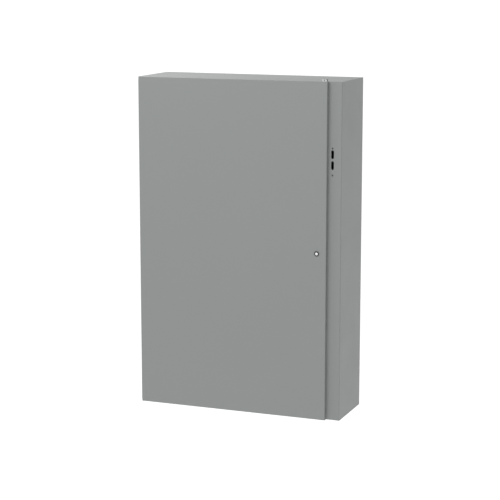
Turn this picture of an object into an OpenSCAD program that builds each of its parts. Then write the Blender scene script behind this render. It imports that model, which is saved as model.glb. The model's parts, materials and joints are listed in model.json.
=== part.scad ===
// Automatic transfer switch in a wall-mounted sheet-steel enclosure.
// Origin: middle of the back face, where it meets the wall.
// X runs to the right, Y runs into the wall (so the front faces -Y), Z runs up.

/* [Enclosure] */
// Width of the body
body_w = 970; // [960:2:990]
// Height of the body
body_h = 1524; // [1510:2:1540]
// Depth of the body, without the door
body_d = 300; // [296:2:310]
// Thickness of the body and door sheet
sheet = 2; // [1.5:0.5:2.5]
// Outside radius of the bent front edges
bend_r = 4; // [3:0.5:5]
// Width of the fixed front strip beside the door
flange_w = 63; // [60:1:66]
// Width of the turned-in lip on the left, top and bottom of the opening
lip_w = 25; // [24:1:27]
// Depth of the return around the door opening
return_d = 12; // [11:0.5:13]

/* [Door] */
// Distance that the door stands in front of the body
door_t = 18; // [17:0.5:19]
// Outside radius of the door's bent edges
door_bend_r = 3.2; // [3:0.2:4]
// Gap between the door's edge and the body
door_gap = 1; // [0.8:0.1:1.2]
// Distance of the latch from the door's free edge
latch_inset = 43.5; // [43:0.5:44]

/* [Flange cutouts] */
// Width of each operator slot
slot_w = 12.5; // [10:0.5:14]
// Height of each operator slot
slot_h = 38; // [30:1:40]
// Diameter of the two operator screw holes
operator_hole_d = 6.6; // [6:0.1:8]

/* [Wall fixing] */
// Width between the wall holes
wall_hole_x = 860; // [840:2:864]
// Height between the wall holes
wall_hole_z = 1470; // [1466:1:1474]
// Diameter of the wall holes
wall_hole_d = 11; // [9:0.5:12]

/* [Transfer mechanism] */
// Distance between neighbouring poles
pole_pitch = 90; // [88:1:92]
// Angle that the contact blades swing each way from the centre-off position
throw_angle = 22; // [20:1:23]
// Diameter of the transfer shaft
shaft_d = 20; // [19:0.5:21]
// Tooth module of the drive gears
drive_module = 3; // [3:0.1:3.1]
// Teeth on the whole circle that the sector gear is cut from
sector_teeth = 40; // [40:1:40]
// Teeth on the drive pinion
pinion_teeth = 16; // [16:1:16]

/* [Latch gearing] */
// Tooth module of the latch rack and pinion
latch_module = 1.5; // [1.5:0.1:1.5]
// Teeth on the latch pinion
latch_teeth = 15; // [15:2:15]

/* [Hidden] */
$fn = 48;

// Colours
grey_paint = [0.57, 0.585, 0.58];
white_paint = [0.93, 0.93, 0.9];
zinc = [0.78, 0.79, 0.78];
copper = [0.78, 0.47, 0.3];
silver = [0.85, 0.85, 0.83];
black_moulding = [0.12, 0.12, 0.13];
grey_moulding = [0.42, 0.43, 0.44];
red_moulding = [0.55, 0.16, 0.12];

// Faces of the body and of its opening
left = -body_w / 2;
right = body_w / 2;
top = body_h / 2;
front = -body_d;
door_right = right - flange_w;
open_left = left + lip_w;
open_right = door_right - 20;
open_top = top - lip_w;
door_front = front - door_t;
door_inner = door_front + sheet;
door_back = front - door_gap;

// Hinge
hinge_x = left - 4.6;
hinge_y = front + 4;
hinge_r = 4;
hinge_pin_r = 1.7;
hinge_fit = 0.05;
knuckle_count = 25;
hinge_len = 1500;
knuckle_pitch = hinge_len / knuckle_count;
leaf_t = 1.6;

// Latch: the rods slide behind the body's returns
latch_x = door_right - latch_inset;
rack_front = front + 16.5;
rack_back = rack_front + 5;
cam_front = front + return_d + 0.5;
cam_back = cam_front + 3;
latch_pitch_r = latch_module * latch_teeth / 2;
rack_line = latch_pitch_r + 0.1;
rack_root = rack_line + 1.25 * latch_module;
rod_w = 6;
rod_end = open_top - 9;
latch_shaft_d = 10;
latch_barrel_d = 20;
latch_core_d = 12;
pressure_angle = 20;
tooth_slack = 0.5;

// Flange cutouts for an operating handle
operator_x = right - 42;
slot_z = [443, 395];
operator_hole_z = [470, 351];

// Sub-panel
panel_t = 3;
panel_y = -28;
panel_x = [left + 40, right - 100];
panel_z = [-715, 715];
stud_x = [panel_x[0] + 20, panel_x[1] - 20];
stud_z = [-695, 695];
stud_d = 9.6;

// Transfer switch unit, centred on its shaft
switch_x = 80;
shaft_f = 72;
poles = [-pole_pitch, 0, pole_pitch];
base_w = 300;
base_f = [4, 34];
base_half_h = 150;
plate_bolts = [for (x = [-155, 155], z = [-210, 210]) [x, z]];
bolt_d = 8;
hub_d = 32;
blade_w = 12;
blade_h = 18;
blade_r = 88;
pad_r = [64, 84];
pad_t = 3;
root_r = 30;
contact_gap = 0.3;
contact_f = [shaft_f + 38, shaft_f + 46];
terminal_z = [95, 215];
chute_f = [118, 175];
chute_z = [22, 140];
chute_half_w = 38;
load_end = -330;
gear_x = [166, 174];
gear_pitch_r = drive_module * sector_teeth / 2;
drive_pitch_r = drive_module * pinion_teeth / 2;
gear_centres = gear_pitch_r + drive_pitch_r + 0.2;
gearbox_x = [190, 250];

// Controls on the left of the sub-panel
case_x = [-375, -175];
case_z = [300, 470];
case_f = 62;
button_size = [16, 10];
button_x = [-348, -318, -288];
button_z = 335;
button_gap = 0.3;
selector_pos = [-215, 345];
rail_z = [200, 60];
rail_x = [-385, -175];
rail_f = 7.5;
breaker_x = [-375, -339];
toggle_f = 62;
duct_x = [-440, -395];
duct_f = 60;
duct_z = [-440, 640];
neutral_z = -535;
ground_z = -650;
harness_holes = [[12, -300], [12, 505], [34, 350]];
handle_z = -420;
handle_x = [-380, -85];

// Box from its lowest to its highest corner
module span(low, high) { translate(low) cube(high - low); }

// Box in front of the sub-panel: range across, range forward, range up
module block(x, f, z) {
  translate([x[0], panel_y - f[1], z[0]]) cube([x[1] - x[0], f[1] - f[0], z[1] - z[0]]);
}

// Round bar that points forward from the sub-panel, over the range f
module pin_out(x, z, f, d) {
  translate([x, panel_y - f[0], z]) rotate([90, 0, 0]) cylinder(d = d, h = f[1] - f[0]);
}

// Round bar along Y between two planes
module pin_y(x, z, y, d) { translate([x, y[1], z]) rotate([90, 0, 0]) cylinder(d = d, h = y[1] - y[0]); }

// Round bar across, at a distance forward and a height
module pin_x(x, f, z, d) {
  translate([x[0], panel_y - f, z]) rotate([0, 90, 0]) cylinder(d = d, h = x[1] - x[0]);
}

// Rectangle with round corners
module rounded_square(size, r) {
  translate([r, 0]) square([size.x - 2 * r, size.y]);
  translate([0, r]) square([size.x, size.y - 2 * r]);
  for (x = [r, size.x - r], y = [r, size.y - r]) translate([x, y]) circle(r);
}

// Plate facing forward, with round corners
module slab(low, high, r) {
  size = high - low;
  translate([low.x, high.y, low.z]) rotate([90, 0, 0]) linear_extrude(size.y)
    rounded_square([size.x, size.z], r);
}

// The same plate, placed by its distance in front of the sub-panel
module front_slab(x, f, z, r) { slab([x[0], panel_y - f[1], z[0]], [x[1], panel_y - f[0], z[1]], r); }

// Outline with its two front corners rounded; the first axis is the depth
module bent_outline(depth, width, r) {
  translate([r, 0]) square([depth - r, width]);
  translate([0, r]) square([2 * r, width - 2 * r]);
  for (v = [r, width - r]) translate([r, v]) circle(r);
}

// Box whose four front edges are bent to a radius
module bent_box(low, high, r) {
  size = high - low;
  intersection() {
    translate([high.x, low.y, low.z]) rotate([0, 0, 90]) linear_extrude(size.z)
      bent_outline(size.y, size.x, r);
    translate(low) rotate([90, 0, 90]) linear_extrude(size.x) bent_outline(size.y, size.z, r);
  }
}

// Half the angle of a tooth at radius r, with involute flanks
function involute(r, base) = let (a = acos(min(1, base / r))) tan(a) * 180 / PI - a;
function tooth_half(r, teeth, mod) =
  let (pitch = teeth * mod / 2, base = pitch * cos(pressure_angle))
  90 / teeth - tooth_slack / 2 / pitch * 90 / PI
  + involute(pitch, base) - involute(max(r, base), base);
function tooth_edge(teeth, mod, centre, side) =
  let (pitch = teeth * mod / 2, root = pitch - 1.25 * mod, tip = pitch + 0.9 * mod,
       low = max(pitch * cos(pressure_angle), root + 0.1))
  concat([[root, centre + side * tooth_half(low, teeth, mod)]],
         [for (k = [0:3]) let (r = low + (tip - low) * k / 3)
           [r, centre + side * tooth_half(r, teeth, mod)]]);
function reversed(list) = [for (k = [len(list) - 1:-1:0]) list[k]];
function tooth(teeth, mod, centre) =
  concat(tooth_edge(teeth, mod, centre, -1), reversed(tooth_edge(teeth, mod, centre, 1)));
function gear_outline(teeth, mod, first, last, turn) =
  [for (k = [first:last]) for (p = tooth(teeth, mod, turn + k * 360 / teeth))
    p[0] * [cos(p[1]), sin(p[1])]];

// Straight teeth that point to +X from the line x = 0
module rack_teeth(count, phase) {
  pitch = PI * latch_module;
  half = pitch / 4 - tooth_slack / 4;
  tip = 0.9 * latch_module;
  root = 1.25 * latch_module;
  slope = tan(pressure_angle);
  for (k = [-count:count]) translate([0, (k + phase) * pitch])
    polygon([[-root - 0.2, -half - root * slope], [tip, -half + tip * slope],
             [tip, half - tip * slope], [-root - 0.2, half + root * slope]]);
}

// ---- Enclosure -------------------------------------------------------------

module body_shell() color(grey_paint) {
  difference() {
    union() {
      difference() {
        bent_box([left, front, -top], [right, 0, top], bend_r);
        bent_box([left + sheet, front + sheet, -top + sheet], [right - sheet, -sheet, top - sheet],
                 bend_r - sheet);
      }
      span([open_left - sheet, front + sheet / 2, -open_top - sheet],
           [open_right + sheet, front + return_d, open_top + sheet]);
    }
    span([open_left, front - 1, -open_top], [open_right, front + return_d + 1, open_top]);
    for (z = slot_z) slab([operator_x - slot_w / 2, front - 1, z - slot_h / 2],
                          [operator_x + slot_w / 2, front + sheet + 1, z + slot_h / 2],
                          slot_w / 2 - 0.01);
    for (z = operator_hole_z) pin_y(operator_x, z, [front - 1, front + sheet + 1], operator_hole_d);
    for (x = [-1, 1], z = [-1, 1])
      pin_y(x * wall_hole_x / 2, z * wall_hole_z / 2, [-sheet - 1, 1], wall_hole_d);
  }
  // Collar studs welded to the back for the sub-panel
  for (x = stud_x, z = stud_z) {
    pin_y(x, z, [panel_y + panel_t, -sheet + 0.5], 20);
    pin_y(x, z, [panel_y - 22, -sheet + 0.5], stud_d);
  }
  // Padlock tab on top of the body, in line with the one on the door
  difference() {
    span([door_right - 25, front + 4, top - 1], [door_right - 5, front + 6, top + 10]);
    pin_y(door_right - 15, top + 5.2, [front, front + 8], 6);
  }
}

module hinge_knuckles(first) {
  for (k = [first:2:knuckle_count - 1])
    translate([hinge_x, hinge_y, -hinge_len / 2 + k * knuckle_pitch + 0.3]) difference() {
      union() {
        cylinder(r = hinge_r, h = knuckle_pitch - 0.6);
        translate([2.4, first == 0 ? 0 : -6.5, 0]) cube([1.4, 6.5, knuckle_pitch - 0.6]);
      }
      translate([0, 0, -1]) cylinder(r = hinge_pin_r + hinge_fit, h = knuckle_pitch + 2);
    }
}

module body_hinge_leaf() color(zinc) {
  hinge_knuckles(0);
  span([left - leaf_t, hinge_y + 5, -hinge_len / 2], [left, hinge_y + 34, hinge_len / 2]);
}

module door_hinge_leaf() color(zinc) {
  hinge_knuckles(1);
  span([left - leaf_t, door_front + 4, -hinge_len / 2], [left, hinge_y - 6, hinge_len / 2]);
}

module hinge_pin() color(zinc)
  translate([hinge_x, hinge_y, -hinge_len / 2]) cylinder(r = hinge_pin_r, h = hinge_len);

module sub_panel() color(white_paint) difference() {
  union() {
    slab([panel_x[0], panel_y, panel_z[0]], [panel_x[1], panel_y + panel_t, panel_z[1]], 12);
    for (x = [panel_x[0], panel_x[1] - 2])
      span([x, panel_y + panel_t - 1, panel_z[0] + 40], [x + 2, panel_y + 16, panel_z[1] - 40]);
  }
  for (x = stud_x, z = stud_z) pin_y(x, z, [panel_y - 1, panel_y + panel_t + 1], 11);
  for (p = plate_bolts) pin_y(switch_x + p.x, p.y, [panel_y - 1, panel_y + panel_t + 1], bolt_d + 0.4);
}

// Nuts that hold the sub-panel and bolts that hold the switch on it
module panel_fasteners() color(zinc) {
  for (x = stud_x, z = stud_z) translate([x, panel_y, z]) rotate([90, 0, 0]) difference() {
    union() {
      cylinder(d = 22, h = 2);
      translate([0, 0, 1.5]) cylinder(d = 19.6, h = 8.5, $fn = 6);
    }
    translate([0, 0, -1]) cylinder(d = stud_d + 0.1, h = 13);
  }
  for (p = plate_bolts) translate([switch_x + p.x, panel_y - base_f[0], p.y]) rotate([90, 0, 0]) {
    cylinder(d = 17, h = 1.6);
    translate([0, 0, 1.2]) cylinder(d = 15, h = 5.4, $fn = 6);
    translate([0, 0, -base_f[0] - panel_t - 5]) cylinder(d = bolt_d, h = base_f[0] + panel_t + 6);
  }
}

// ---- Door ------------------------------------------------------------------

module door_panel() color(grey_paint) difference() {
  bent_box([left, door_front, -top], [door_right, door_back, top], door_bend_r);
  bent_box([left + sheet, door_inner, -top + sheet], [door_right - sheet, door_back + 1, top - sheet],
           door_bend_r - sheet);
  pin_y(latch_x, 0, [door_front - 1, door_inner + 1], latch_barrel_d + 0.3);
}

// One-piece seal around the inside of the door, which meets the body's front face
module door_gasket() color(black_moulding) {
  outer_x = [open_left - 16, open_right + 15];
  inner_x = [open_left - 5, open_right + 4];
  difference() {
    slab([outer_x[0], door_inner, -open_top - 15], [outer_x[1], front - 0.3, open_top + 15], 8);
    slab([inner_x[0], door_inner - 1, -open_top - 4], [inner_x[1], front + 1, open_top + 4], 4);
  }
}

module door_stiffeners() color(grey_paint) for (x = [-260, 200]) difference() {
  span([x - 30, door_inner, -640], [x + 30, door_inner + 20, 640]);
  span([x - 18, door_inner - 1, -641], [x + 18, door_inner + 18, 641]);
  for (side = [-1, 1]) translate([x, 0, 0])
    span([side * 25 - 5.01, door_inner + 2, -641], [side * 25 + 5.01, door_inner + 21, 641]);
}

module data_pocket() color(grey_moulding) difference() {
  slab([-180, door_inner, -190], [120, door_inner + 32, 60], 8);
  slab([-177, door_inner + 2.5, -187], [117, door_inner + 29.5, 80], 6);
  slab([-110, door_inner + 20, 10], [50, door_inner + 40, 90], 20);
}

module latch_housing() color(black_moulding) difference() {
  union() {
    pin_y(latch_x, 0, [door_front - 2.2, door_front], 23);
    pin_y(latch_x, 0, [door_front - 0.5, front + 8], latch_barrel_d);
  }
  pin_y(latch_x, 0, [door_front - 4, front + 9], latch_core_d + 0.1);
}

module latch_nut() color(zinc) translate([latch_x, door_inner + 5, 0]) rotate([90, 0, 0])
  difference() {
    cylinder(d = 30, h = 5, $fn = 6);
    translate([0, 0, -1]) cylinder(d = latch_barrel_d + 0.1, h = 7);
  }

// Guide blocks that the two latch rods slide through
module rod_guides() color(black_moulding)
  for (z = [120, 400, 680], side = [-1, 1]) {
    x = latch_x + side * (rack_root + rod_w / 2);
    difference() {
      span([x - 5.3, door_inner, side * -z - 9], [x + 5.3, rack_back + 3.5, side * -z + 9]);
      span([x - rod_w / 2 - 0.3, rack_front - 0.3, side * -z - 10],
           [x + rod_w / 2 + 0.3, rack_back + 0.3, side * -z + 10]);
    }
  }

module padlock_tab() color(zinc) {
  x = [door_right - 25, door_right - 5];
  span([x[0], door_front + 6, top], [x[1], door_back - 2, top + 2]);
  difference() {
    slab([x[0], door_front + 6, top], [x[1], door_front + 8, top + 10], 4.9);
    pin_y(door_right - 15, top + 5.2, [door_front, door_front + 12], 6);
  }
}

module latch_insert() color(silver) difference() {
  union() {
    pin_y(latch_x, 0, [door_front - 2.6, front + 9], latch_core_d);
    pin_y(latch_x, 0, [front + 8, rack_back + 5], latch_shaft_d);
    translate([latch_x, rack_back + 6, 0]) rotate([90, 0, 0]) cylinder(d = 17, h = 4, $fn = 6);
  }
  span([latch_x - 1.2, door_front - 3, -4.5], [latch_x + 1.2, door_front + 1, 4.5]);
}

module latch_pinion() color(zinc) translate([latch_x, rack_back, 0]) rotate([90, 0, 0])
  linear_extrude(rack_back - rack_front) difference() {
    polygon(gear_outline(latch_teeth, latch_module, 0, latch_teeth - 1, 0));
    circle(d = latch_shaft_d + 0.1);
  }

module latch_cam() color(zinc) translate([latch_x, cam_back, 0]) rotate([90, 0, 0])
  linear_extrude(cam_back - cam_front) difference() {
    union() {
      circle(r = 10);
      translate([-7, 0]) square([14, 28.5]);
      translate([0, 27]) intersection() {
        circle(r = 7);
        translate([-7, -7]) square([14, 11.5]);
      }
    }
    circle(d = latch_shaft_d + 0.1);
  }

// Rod with a rack; side -1 stands left of the pinion and runs up, side 1 runs down
module latch_rod(side) {
  x = latch_x + side * (rack_root + rod_w / 2);
  ends = side < 0 ? [-26, rod_end] : [-rod_end, 26];
  tip = side < 0 ? [rod_end - 14, rod_end] : [-rod_end, -rod_end + 14];
  span([x - rod_w / 2, rack_front, ends[0]], [x + rod_w / 2, rack_back, ends[1]]);
  span([x - rod_w / 2, cam_front, tip[0]], [x + rod_w / 2, rack_front + 1, tip[1]]);
  translate([latch_x + side * rack_line, rack_back, 0]) rotate([90, 0, 0])
    linear_extrude(rack_back - rack_front)
      mirror([side > 0 ? 1 : 0, 0]) rack_teeth(4, side < 0 ? 0 : 0.5);
}

module upper_rod() color(zinc) latch_rod(-1);
module lower_rod() color(zinc) latch_rod(1);

// ---- Transfer switch unit --------------------------------------------------

module on_switch() { translate([switch_x, 0, 0]) children(); }

module each_pole() { for (x = poles) translate([x, 0, 0]) children(); }

module switch_mounting_plate() color(zinc) on_switch() difference() {
  front_slab([-170, 170], [0, base_f[0]], [-225, 225], 10);
  for (p = plate_bolts) pin_out(p.x, p.y, [-1, base_f[0] + 1], bolt_d + 1);
}

// Moulded base with a post behind each fixed contact
module switch_base() color(red_moulding) on_switch() difference() {
  union() {
    front_slab([-base_w / 2, base_w / 2], base_f, [-base_half_h, base_half_h], 6);
    each_pole() for (side = [-1, 1]) translate([0, 0, side * 120])
      block([-20, 20], [base_f[1] - 1, contact_f[0]], [-25, 25]);
  }
  each_pole() {
    block([-16, 16], [base_f[0] - 1, 12], [-base_half_h - 1, 31]);
    block([-11.5, 11.5], [base_f[0] - 1, base_f[1] + 1], [-31, 31]);
  }
}

// Steel cheeks that carry the shaft
module side_plates() color(zinc) on_switch() for (x = [-154, 150]) difference() {
  block([x, x + 4], [base_f[0], 118], [-75, 75]);
  pin_x([x - 1, x + 5], shaft_f, 0, shaft_d + 10);
  for (z = [-50, 50]) pin_x([x - 1, x + 5], 30, z, 14);
}

module shaft_bushes() color([0.72, 0.56, 0.3]) on_switch() for (side = [-1, 1]) difference() {
  union() {
    pin_x(side < 0 ? [-154, -149] : [149, 154], shaft_f, 0, shaft_d + 9.9);
    pin_x(side < 0 ? [-157, -154] : [154, 157], shaft_f, 0, shaft_d + 18);
  }
  pin_x(side < 0 ? [-158, -148] : [148, 158], shaft_f, 0, shaft_d + 0.1);
}

// Fixed contact: a strip that rises to the terminal, with a tilted foot that meets the blade
module fixed_contact() {
  block([-14, 14], contact_f, [31, terminal_z[1]]);
  translate([0, panel_y - shaft_f, 0]) rotate([-throw_angle, 0, 0])
    span([-12, -pad_r[1] - 4, blade_h / 2 + pad_t + contact_gap],
         [12, -44, blade_h / 2 + pad_t + contact_gap + 6]);
}

module contact_row() on_switch() each_pole() difference() {
  fixed_contact();
  pin_out(0, 112, [contact_f[0] - 1, contact_f[1] + 1], 9);
}

module normal_contacts() color(copper) contact_row();
module emergency_contacts() color(copper) mirror([0, 0, 1]) contact_row();

// Load bar behind the base, with two cheeks that the blade's root turns between
module load_contacts() color(copper) on_switch() each_pole() difference() {
  union() {
    block([-15, 15], [5, 11], [load_end, 30]);
    for (x = [-blade_w / 2 - 4.3, blade_w / 2 + 0.3]) {
      block([x, x + 4], [10.5, shaft_f], [-24, 24]);
      pin_x([x, x + 4], shaft_f, 0, 48);
    }
  }
  pin_x([-20, 20], shaft_f, 0, hub_d + 1);
}

// Insulating boxes around the contacts, open towards the blades and the base
module arc_chutes() color([0.83, 0.8, 0.72]) on_switch() each_pole() for (side = [0, 1])
  mirror([0, 0, side]) difference() {
    block([-chute_half_w, chute_half_w], chute_f, chute_z);
    block([-chute_half_w + 3, chute_half_w - 3], [chute_f[0] - 1, chute_f[1] - 3],
          [chute_z[0] - 1, chute_z[1] - 3]);
    for (x = [-24:12:24]) block([x - 3, x + 3], [chute_f[1] - 4, chute_f[1] + 1], [100, 130]);
  }

// Steel plates that split the arc
module arc_plates() color(zinc) on_switch() each_pole() for (side = [0, 1]) mirror([0, 0, side])
  for (z = [62:10:122]) difference() {
    block([-chute_half_w + 3, chute_half_w - 3], [122, 170], [z, z + 1.5]);
    block([-9, 9], [121, 148], [z - 1, z + 3]);
  }

module pole_barriers() color(black_moulding) on_switch() for (k = [-1.5:1:1.5])
  difference() {
    block([k * pole_pitch - 2, k * pole_pitch + 2], [base_f[1], 186], [-base_half_h, base_half_h]);
    pin_x([k * pole_pitch - 3, k * pole_pitch + 3], shaft_f, 0, hub_d + 2);
  }

// Mechanical lug; the wire enters along Z and the screw from the front
module lug(f) difference() {
  front_slab([-17, 17], [f, f + 34], [-25, 25], 3);
  translate([0, panel_y - f - 19, -26]) cylinder(d = 23, h = 52);
  for (z = [-12, 12]) pin_out(0, z, [f + 19, f + 35], 12.2);
}

module lug_places() {
  on_switch() each_pole() {
    translate([0, 0, 190]) children(0);
    translate([0, 0, -190]) children(0);
    translate([0, 0, load_end + 26]) children(1);
  }
  for (x = [-365, -325, -265, -225]) translate([x, 0, neutral_z]) children(2);
}

module cable_lugs() color(silver) lug_places() {
  lug(contact_f[1]);
  lug(11);
  lug(52);
}

module lug_screw_pair(f) for (z = [-12, 12]) difference() {
  pin_out(0, z, [f + 31, f + 42], 12);
  translate([0, panel_y - f - 43, z]) rotate([-90, 0, 0]) cylinder(d = 7, h = 6, $fn = 6);
}

module lug_screws() color(zinc) lug_places() {
  lug_screw_pair(contact_f[1]);
  lug_screw_pair(11);
  lug_screw_pair(52);
}

module gearbox() color(grey_moulding) on_switch() difference() {
  union() {
    front_slab(gearbox_x, [30, 115], [gear_centres - 42, gear_centres + 42], 6);
    block([gearbox_x[0] + 6, gearbox_x[1] - 6], [4, 31], [gear_centres - 30, gear_centres + 30]);
    block([gearbox_x[0] + 6, gearbox_x[1] - 6], [0, 4], [gear_centres - 55, gear_centres + 55]);
  }
  pin_x([gearbox_x[0] - 1, gearbox_x[0] + 30], shaft_f, gear_centres, 12.1);
  for (z = [-50, 50]) pin_out(220, gear_centres + z, [-1, 6], 7);
}

module drive_motor() color([0.2, 0.21, 0.23]) on_switch()
  translate([220, panel_y - shaft_f, gear_centres + 42]) {
    cylinder(d = 70, h = 8);
    translate([0, 0, 8]) cylinder(d = 62, h = 84);
    translate([0, 0, 92]) cylinder(d = 66, h = 10);
    translate([0, 0, 102]) cylinder(d = 20, h = 6);
  }

module auxiliary_switches() color(black_moulding) on_switch() difference() {
  union() {
    for (k = [0:2]) front_slab([-216 + k * 11, -206 + k * 11], [40, 104], [-32, 32], 4);
    block([-215, -185], [4, 41], [-20, 20]);
    block([-215, -185], [0, 4], [-45, 45]);
    pin_x([-216, -184], shaft_f, 0, 44);
  }
  pin_x([-217, -183], shaft_f, 0, shaft_d + 1);
}

// ---- Moving contacts and drive ---------------------------------------------

// Shaft with a socket at its right end for the manual handle
module transfer_shaft() color(zinc) on_switch() difference() {
  union() {
    pin_x([-214, 178], shaft_f, 0, shaft_d);
    pin_x([177, 206], shaft_f, 0, 36);
  }
  pin_out(192, 0, [shaft_f - 6, shaft_f + 20], 14);
}

module insulating_hubs() color(black_moulding) on_switch() difference() {
  pin_x([-148, 148], shaft_f, 0, hub_d);
  pin_x([-149, 149], shaft_f, 0, shaft_d + 0.1);
}

// Copper blade with a silver pad on each side of its tip
module moving_contacts() color(copper) on_switch() each_pole() difference() {
  union() {
    pin_x([-blade_w / 2, blade_w / 2], shaft_f, 0, 2 * root_r);
    block([-blade_w / 2, blade_w / 2], [shaft_f, shaft_f + blade_r], [-blade_h / 2, blade_h / 2]);
    block([-blade_w / 2, blade_w / 2], [shaft_f + pad_r[0], shaft_f + pad_r[1]],
          [-blade_h / 2 - pad_t, blade_h / 2 + pad_t]);
  }
  pin_x([-blade_w, blade_w], shaft_f, 0, hub_d + 0.1);
}

module sector_gear() color([0.45, 0.46, 0.48]) on_switch()
  translate([gear_x[0], panel_y - shaft_f, 0]) rotate([90, 0, 90])
    linear_extrude(gear_x[1] - gear_x[0]) difference() {
      union() {
        polygon(concat([[0, 0]], gear_outline(sector_teeth, drive_module, -6, 6, 90)));
        circle(r = 22);
      }
      circle(d = shaft_d + 0.1);
      translate([0, 38]) circle(r = 7);
    }

module drive_pinion() color([0.45, 0.46, 0.48]) on_switch()
  translate([gear_x[0] - 1, panel_y - shaft_f, gear_centres]) rotate([90, 0, 90]) {
    linear_extrude(gear_x[1] - gear_x[0] + 2)
      polygon(gear_outline(pinion_teeth, drive_module, 0, pinion_teeth - 1,
                           -90 + 180 / pinion_teeth));
    cylinder(d = 12, h = gearbox_x[0] - gear_x[0] + 26);
  }

// Drum whose front shows which source is connected
module position_indicator() color([0.85, 0.85, 0.8]) on_switch() difference() {
  union() {
    pin_x([-178, -160], shaft_f, 0, 60);
    pin_x([-181, -159], shaft_f, 0, 30);
  }
  pin_x([-182, -158], shaft_f, 0, shaft_d + 0.1);
}

// ---- Controls --------------------------------------------------------------

module controller_case() color(grey_moulding) difference() {
  union() {
    front_slab(case_x, [2, case_f], case_z, 8);
    for (x = [case_x[0] + 10, case_x[1] - 30], z = [case_z[0] - 12, case_z[1] - 8])
      front_slab([x, x + 20], [0, 5], [z, z + 20], 4);
  }
  for (x = button_x)
    block([x - button_size.x / 2 - button_gap, x + button_size.x / 2 + button_gap],
          [case_f - 7, case_f + 1],
          [button_z - button_size.y / 2 - button_gap, button_z + button_size.y / 2 + button_gap]);
  pin_out(selector_pos.x, selector_pos.y, [case_f - 14, case_f + 1], 8.1);
  for (z = [case_z[0] + 30:12:case_z[0] + 138])
    block([case_x[1] - 3, case_x[1] + 1], [18, 46], [z, z + 5]);
}

module display_window() color([0.1, 0.16, 0.14])
  front_slab([-355, -245], [case_f, case_f + 1.5], [372, 446], 4);

module push_button(x) {
  half = button_size / 2;
  front_slab([x - half.x, x + half.x], [case_f - 3, case_f + 3],
             [button_z - half.y, button_z + half.y], 2);
}

module test_button() color([0.2, 0.45, 0.25]) push_button(button_x[0]);
module menu_button() color([0.75, 0.75, 0.75]) push_button(button_x[1]);
module reset_button() color([0.7, 0.15, 0.12]) push_button(button_x[2]);

module selector_knob() color(black_moulding) {
  pin_out(selector_pos.x, selector_pos.y, [case_f - 12, case_f + 2], 8);
  difference() {
    pin_out(selector_pos.x, selector_pos.y, [case_f + 0.6, case_f + 8], 26);
    for (side = [-1, 1]) translate([selector_pos.x + side * 12, 0, selector_pos.y])
      block([-7, 7], [case_f + 4, case_f + 9], [-14, 14]);
  }
  translate([selector_pos.x, 0, selector_pos.y]) block([-5, 5], [case_f + 4, case_f + 16], [-12, 12]);
}

// Laminated core with two windows for the winding
module transformer_core() color([0.3, 0.3, 0.32]) difference() {
  union() {
    front_slab([-350, -220], [16, 74], [540, 650], 3);
    for (x = [-350, -240]) block([x, x + 20], [0, 17], [540, 650]);
    block([-350, -220], [0, 3], [528, 662]);
  }
  for (x = [-325, -270]) block([x, x + 25], [15, 75], [562, 628]);
  block([-326, -244], [3, 16.01], [550, 640]);
  for (x = [-340, -230], z = [534, 656]) pin_out(x, z, [-1, 4], 7);
}

module transformer_coil() color([0.72, 0.64, 0.4]) difference() {
  front_slab([-324.5, -245.5], [5, 86], [562.5, 627.5], 3);
  block([-300.4, -269.6], [15.6, 74.4], [560, 630]);
}

module control_breaker() color(black_moulding) difference() {
  front_slab(breaker_x, [rail_f, 70], [rail_z[0] - 42, rail_z[0] + 42], 2);
  for (side = [-1, 1])
    block([breaker_x[0] - 1, breaker_x[1] + 1], [52, 71],
          side < 0 ? [rail_z[0] - 43, rail_z[0] - 24] : [rail_z[0] + 24, rail_z[0] + 43]);
  pin_x([breaker_x[0] + 8, breaker_x[1] - 8], toggle_f, rail_z[0], 18.6);
  block([breaker_x[0] + 8, breaker_x[1] - 8], [toggle_f, 71], [rail_z[0] - 12, rail_z[0] + 12]);
}

module breaker_toggle() color(silver) {
  x = [breaker_x[0] + 8.4, breaker_x[1] - 8.4];
  pin_x(x, toggle_f, rail_z[0], 18);
  block([x[0], x[1]], [toggle_f, toggle_f + 20], [rail_z[0] - 3, rail_z[0] + 3]);
}

module din_rails() color(zinc) for (z = rail_z) difference() {
  union() {
    block(rail_x, [0, 1.5], [z - 13.5, z + 13.5]);
    for (s = [-1, 1]) {
      block(rail_x, [0, rail_f], s < 0 ? [z - 13.5, z - 12] : [z + 12, z + 13.5]);
      block(rail_x, [rail_f - 1.5, rail_f], s < 0 ? [z - 17.5, z - 12] : [z + 12, z + 17.5]);
    }
  }
  for (x = [rail_x[0] + 15:30:rail_x[1]]) pin_out(x, z, [-1, 3], 5);
}

module relays() color([0.75, 0.75, 0.68]) for (x = [-320, -288, -256]) {
  front_slab([x, x + 28], [rail_f, 32], [rail_z[0] - 40, rail_z[0] + 40], 2);
  front_slab([x + 2, x + 26], [32, 84], [rail_z[0] - 18, rail_z[0] + 18], 2);
}

module terminal_blocks() color([0.62, 0.64, 0.62]) for (k = [0:17])
  translate([rail_x[0] + 12 + k * 8.2, 0, rail_z[1]]) difference() {
    block([0, 8], [rail_f, 48], [-24, 24]);
    for (s = [-1, 1]) {
      block([-1, 9], [38, 49], s < 0 ? [-25, -14] : [14, 25]);
      pin_out(4, s * 19, [30, 39], 5);
    }
  }

// Slotted duct for the control wires
module wiring_duct() color([0.7, 0.71, 0.7]) difference() {
  block(duct_x, [0, duct_f], duct_z);
  block([duct_x[0] + 2, duct_x[1] - 2], [2, duct_f + 1], [duct_z[0] + 2, duct_z[1] - 2]);
  for (z = [duct_z[0] + 14:24:duct_z[1] - 14])
    block([duct_x[0] - 1, duct_x[1] + 1], [22, duct_f + 1], [z, z + 8]);
  for (hole = harness_holes) pin_x([duct_x[1] - 3, duct_x[1] + 1], hole[0], hole[1], 12);
}

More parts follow.
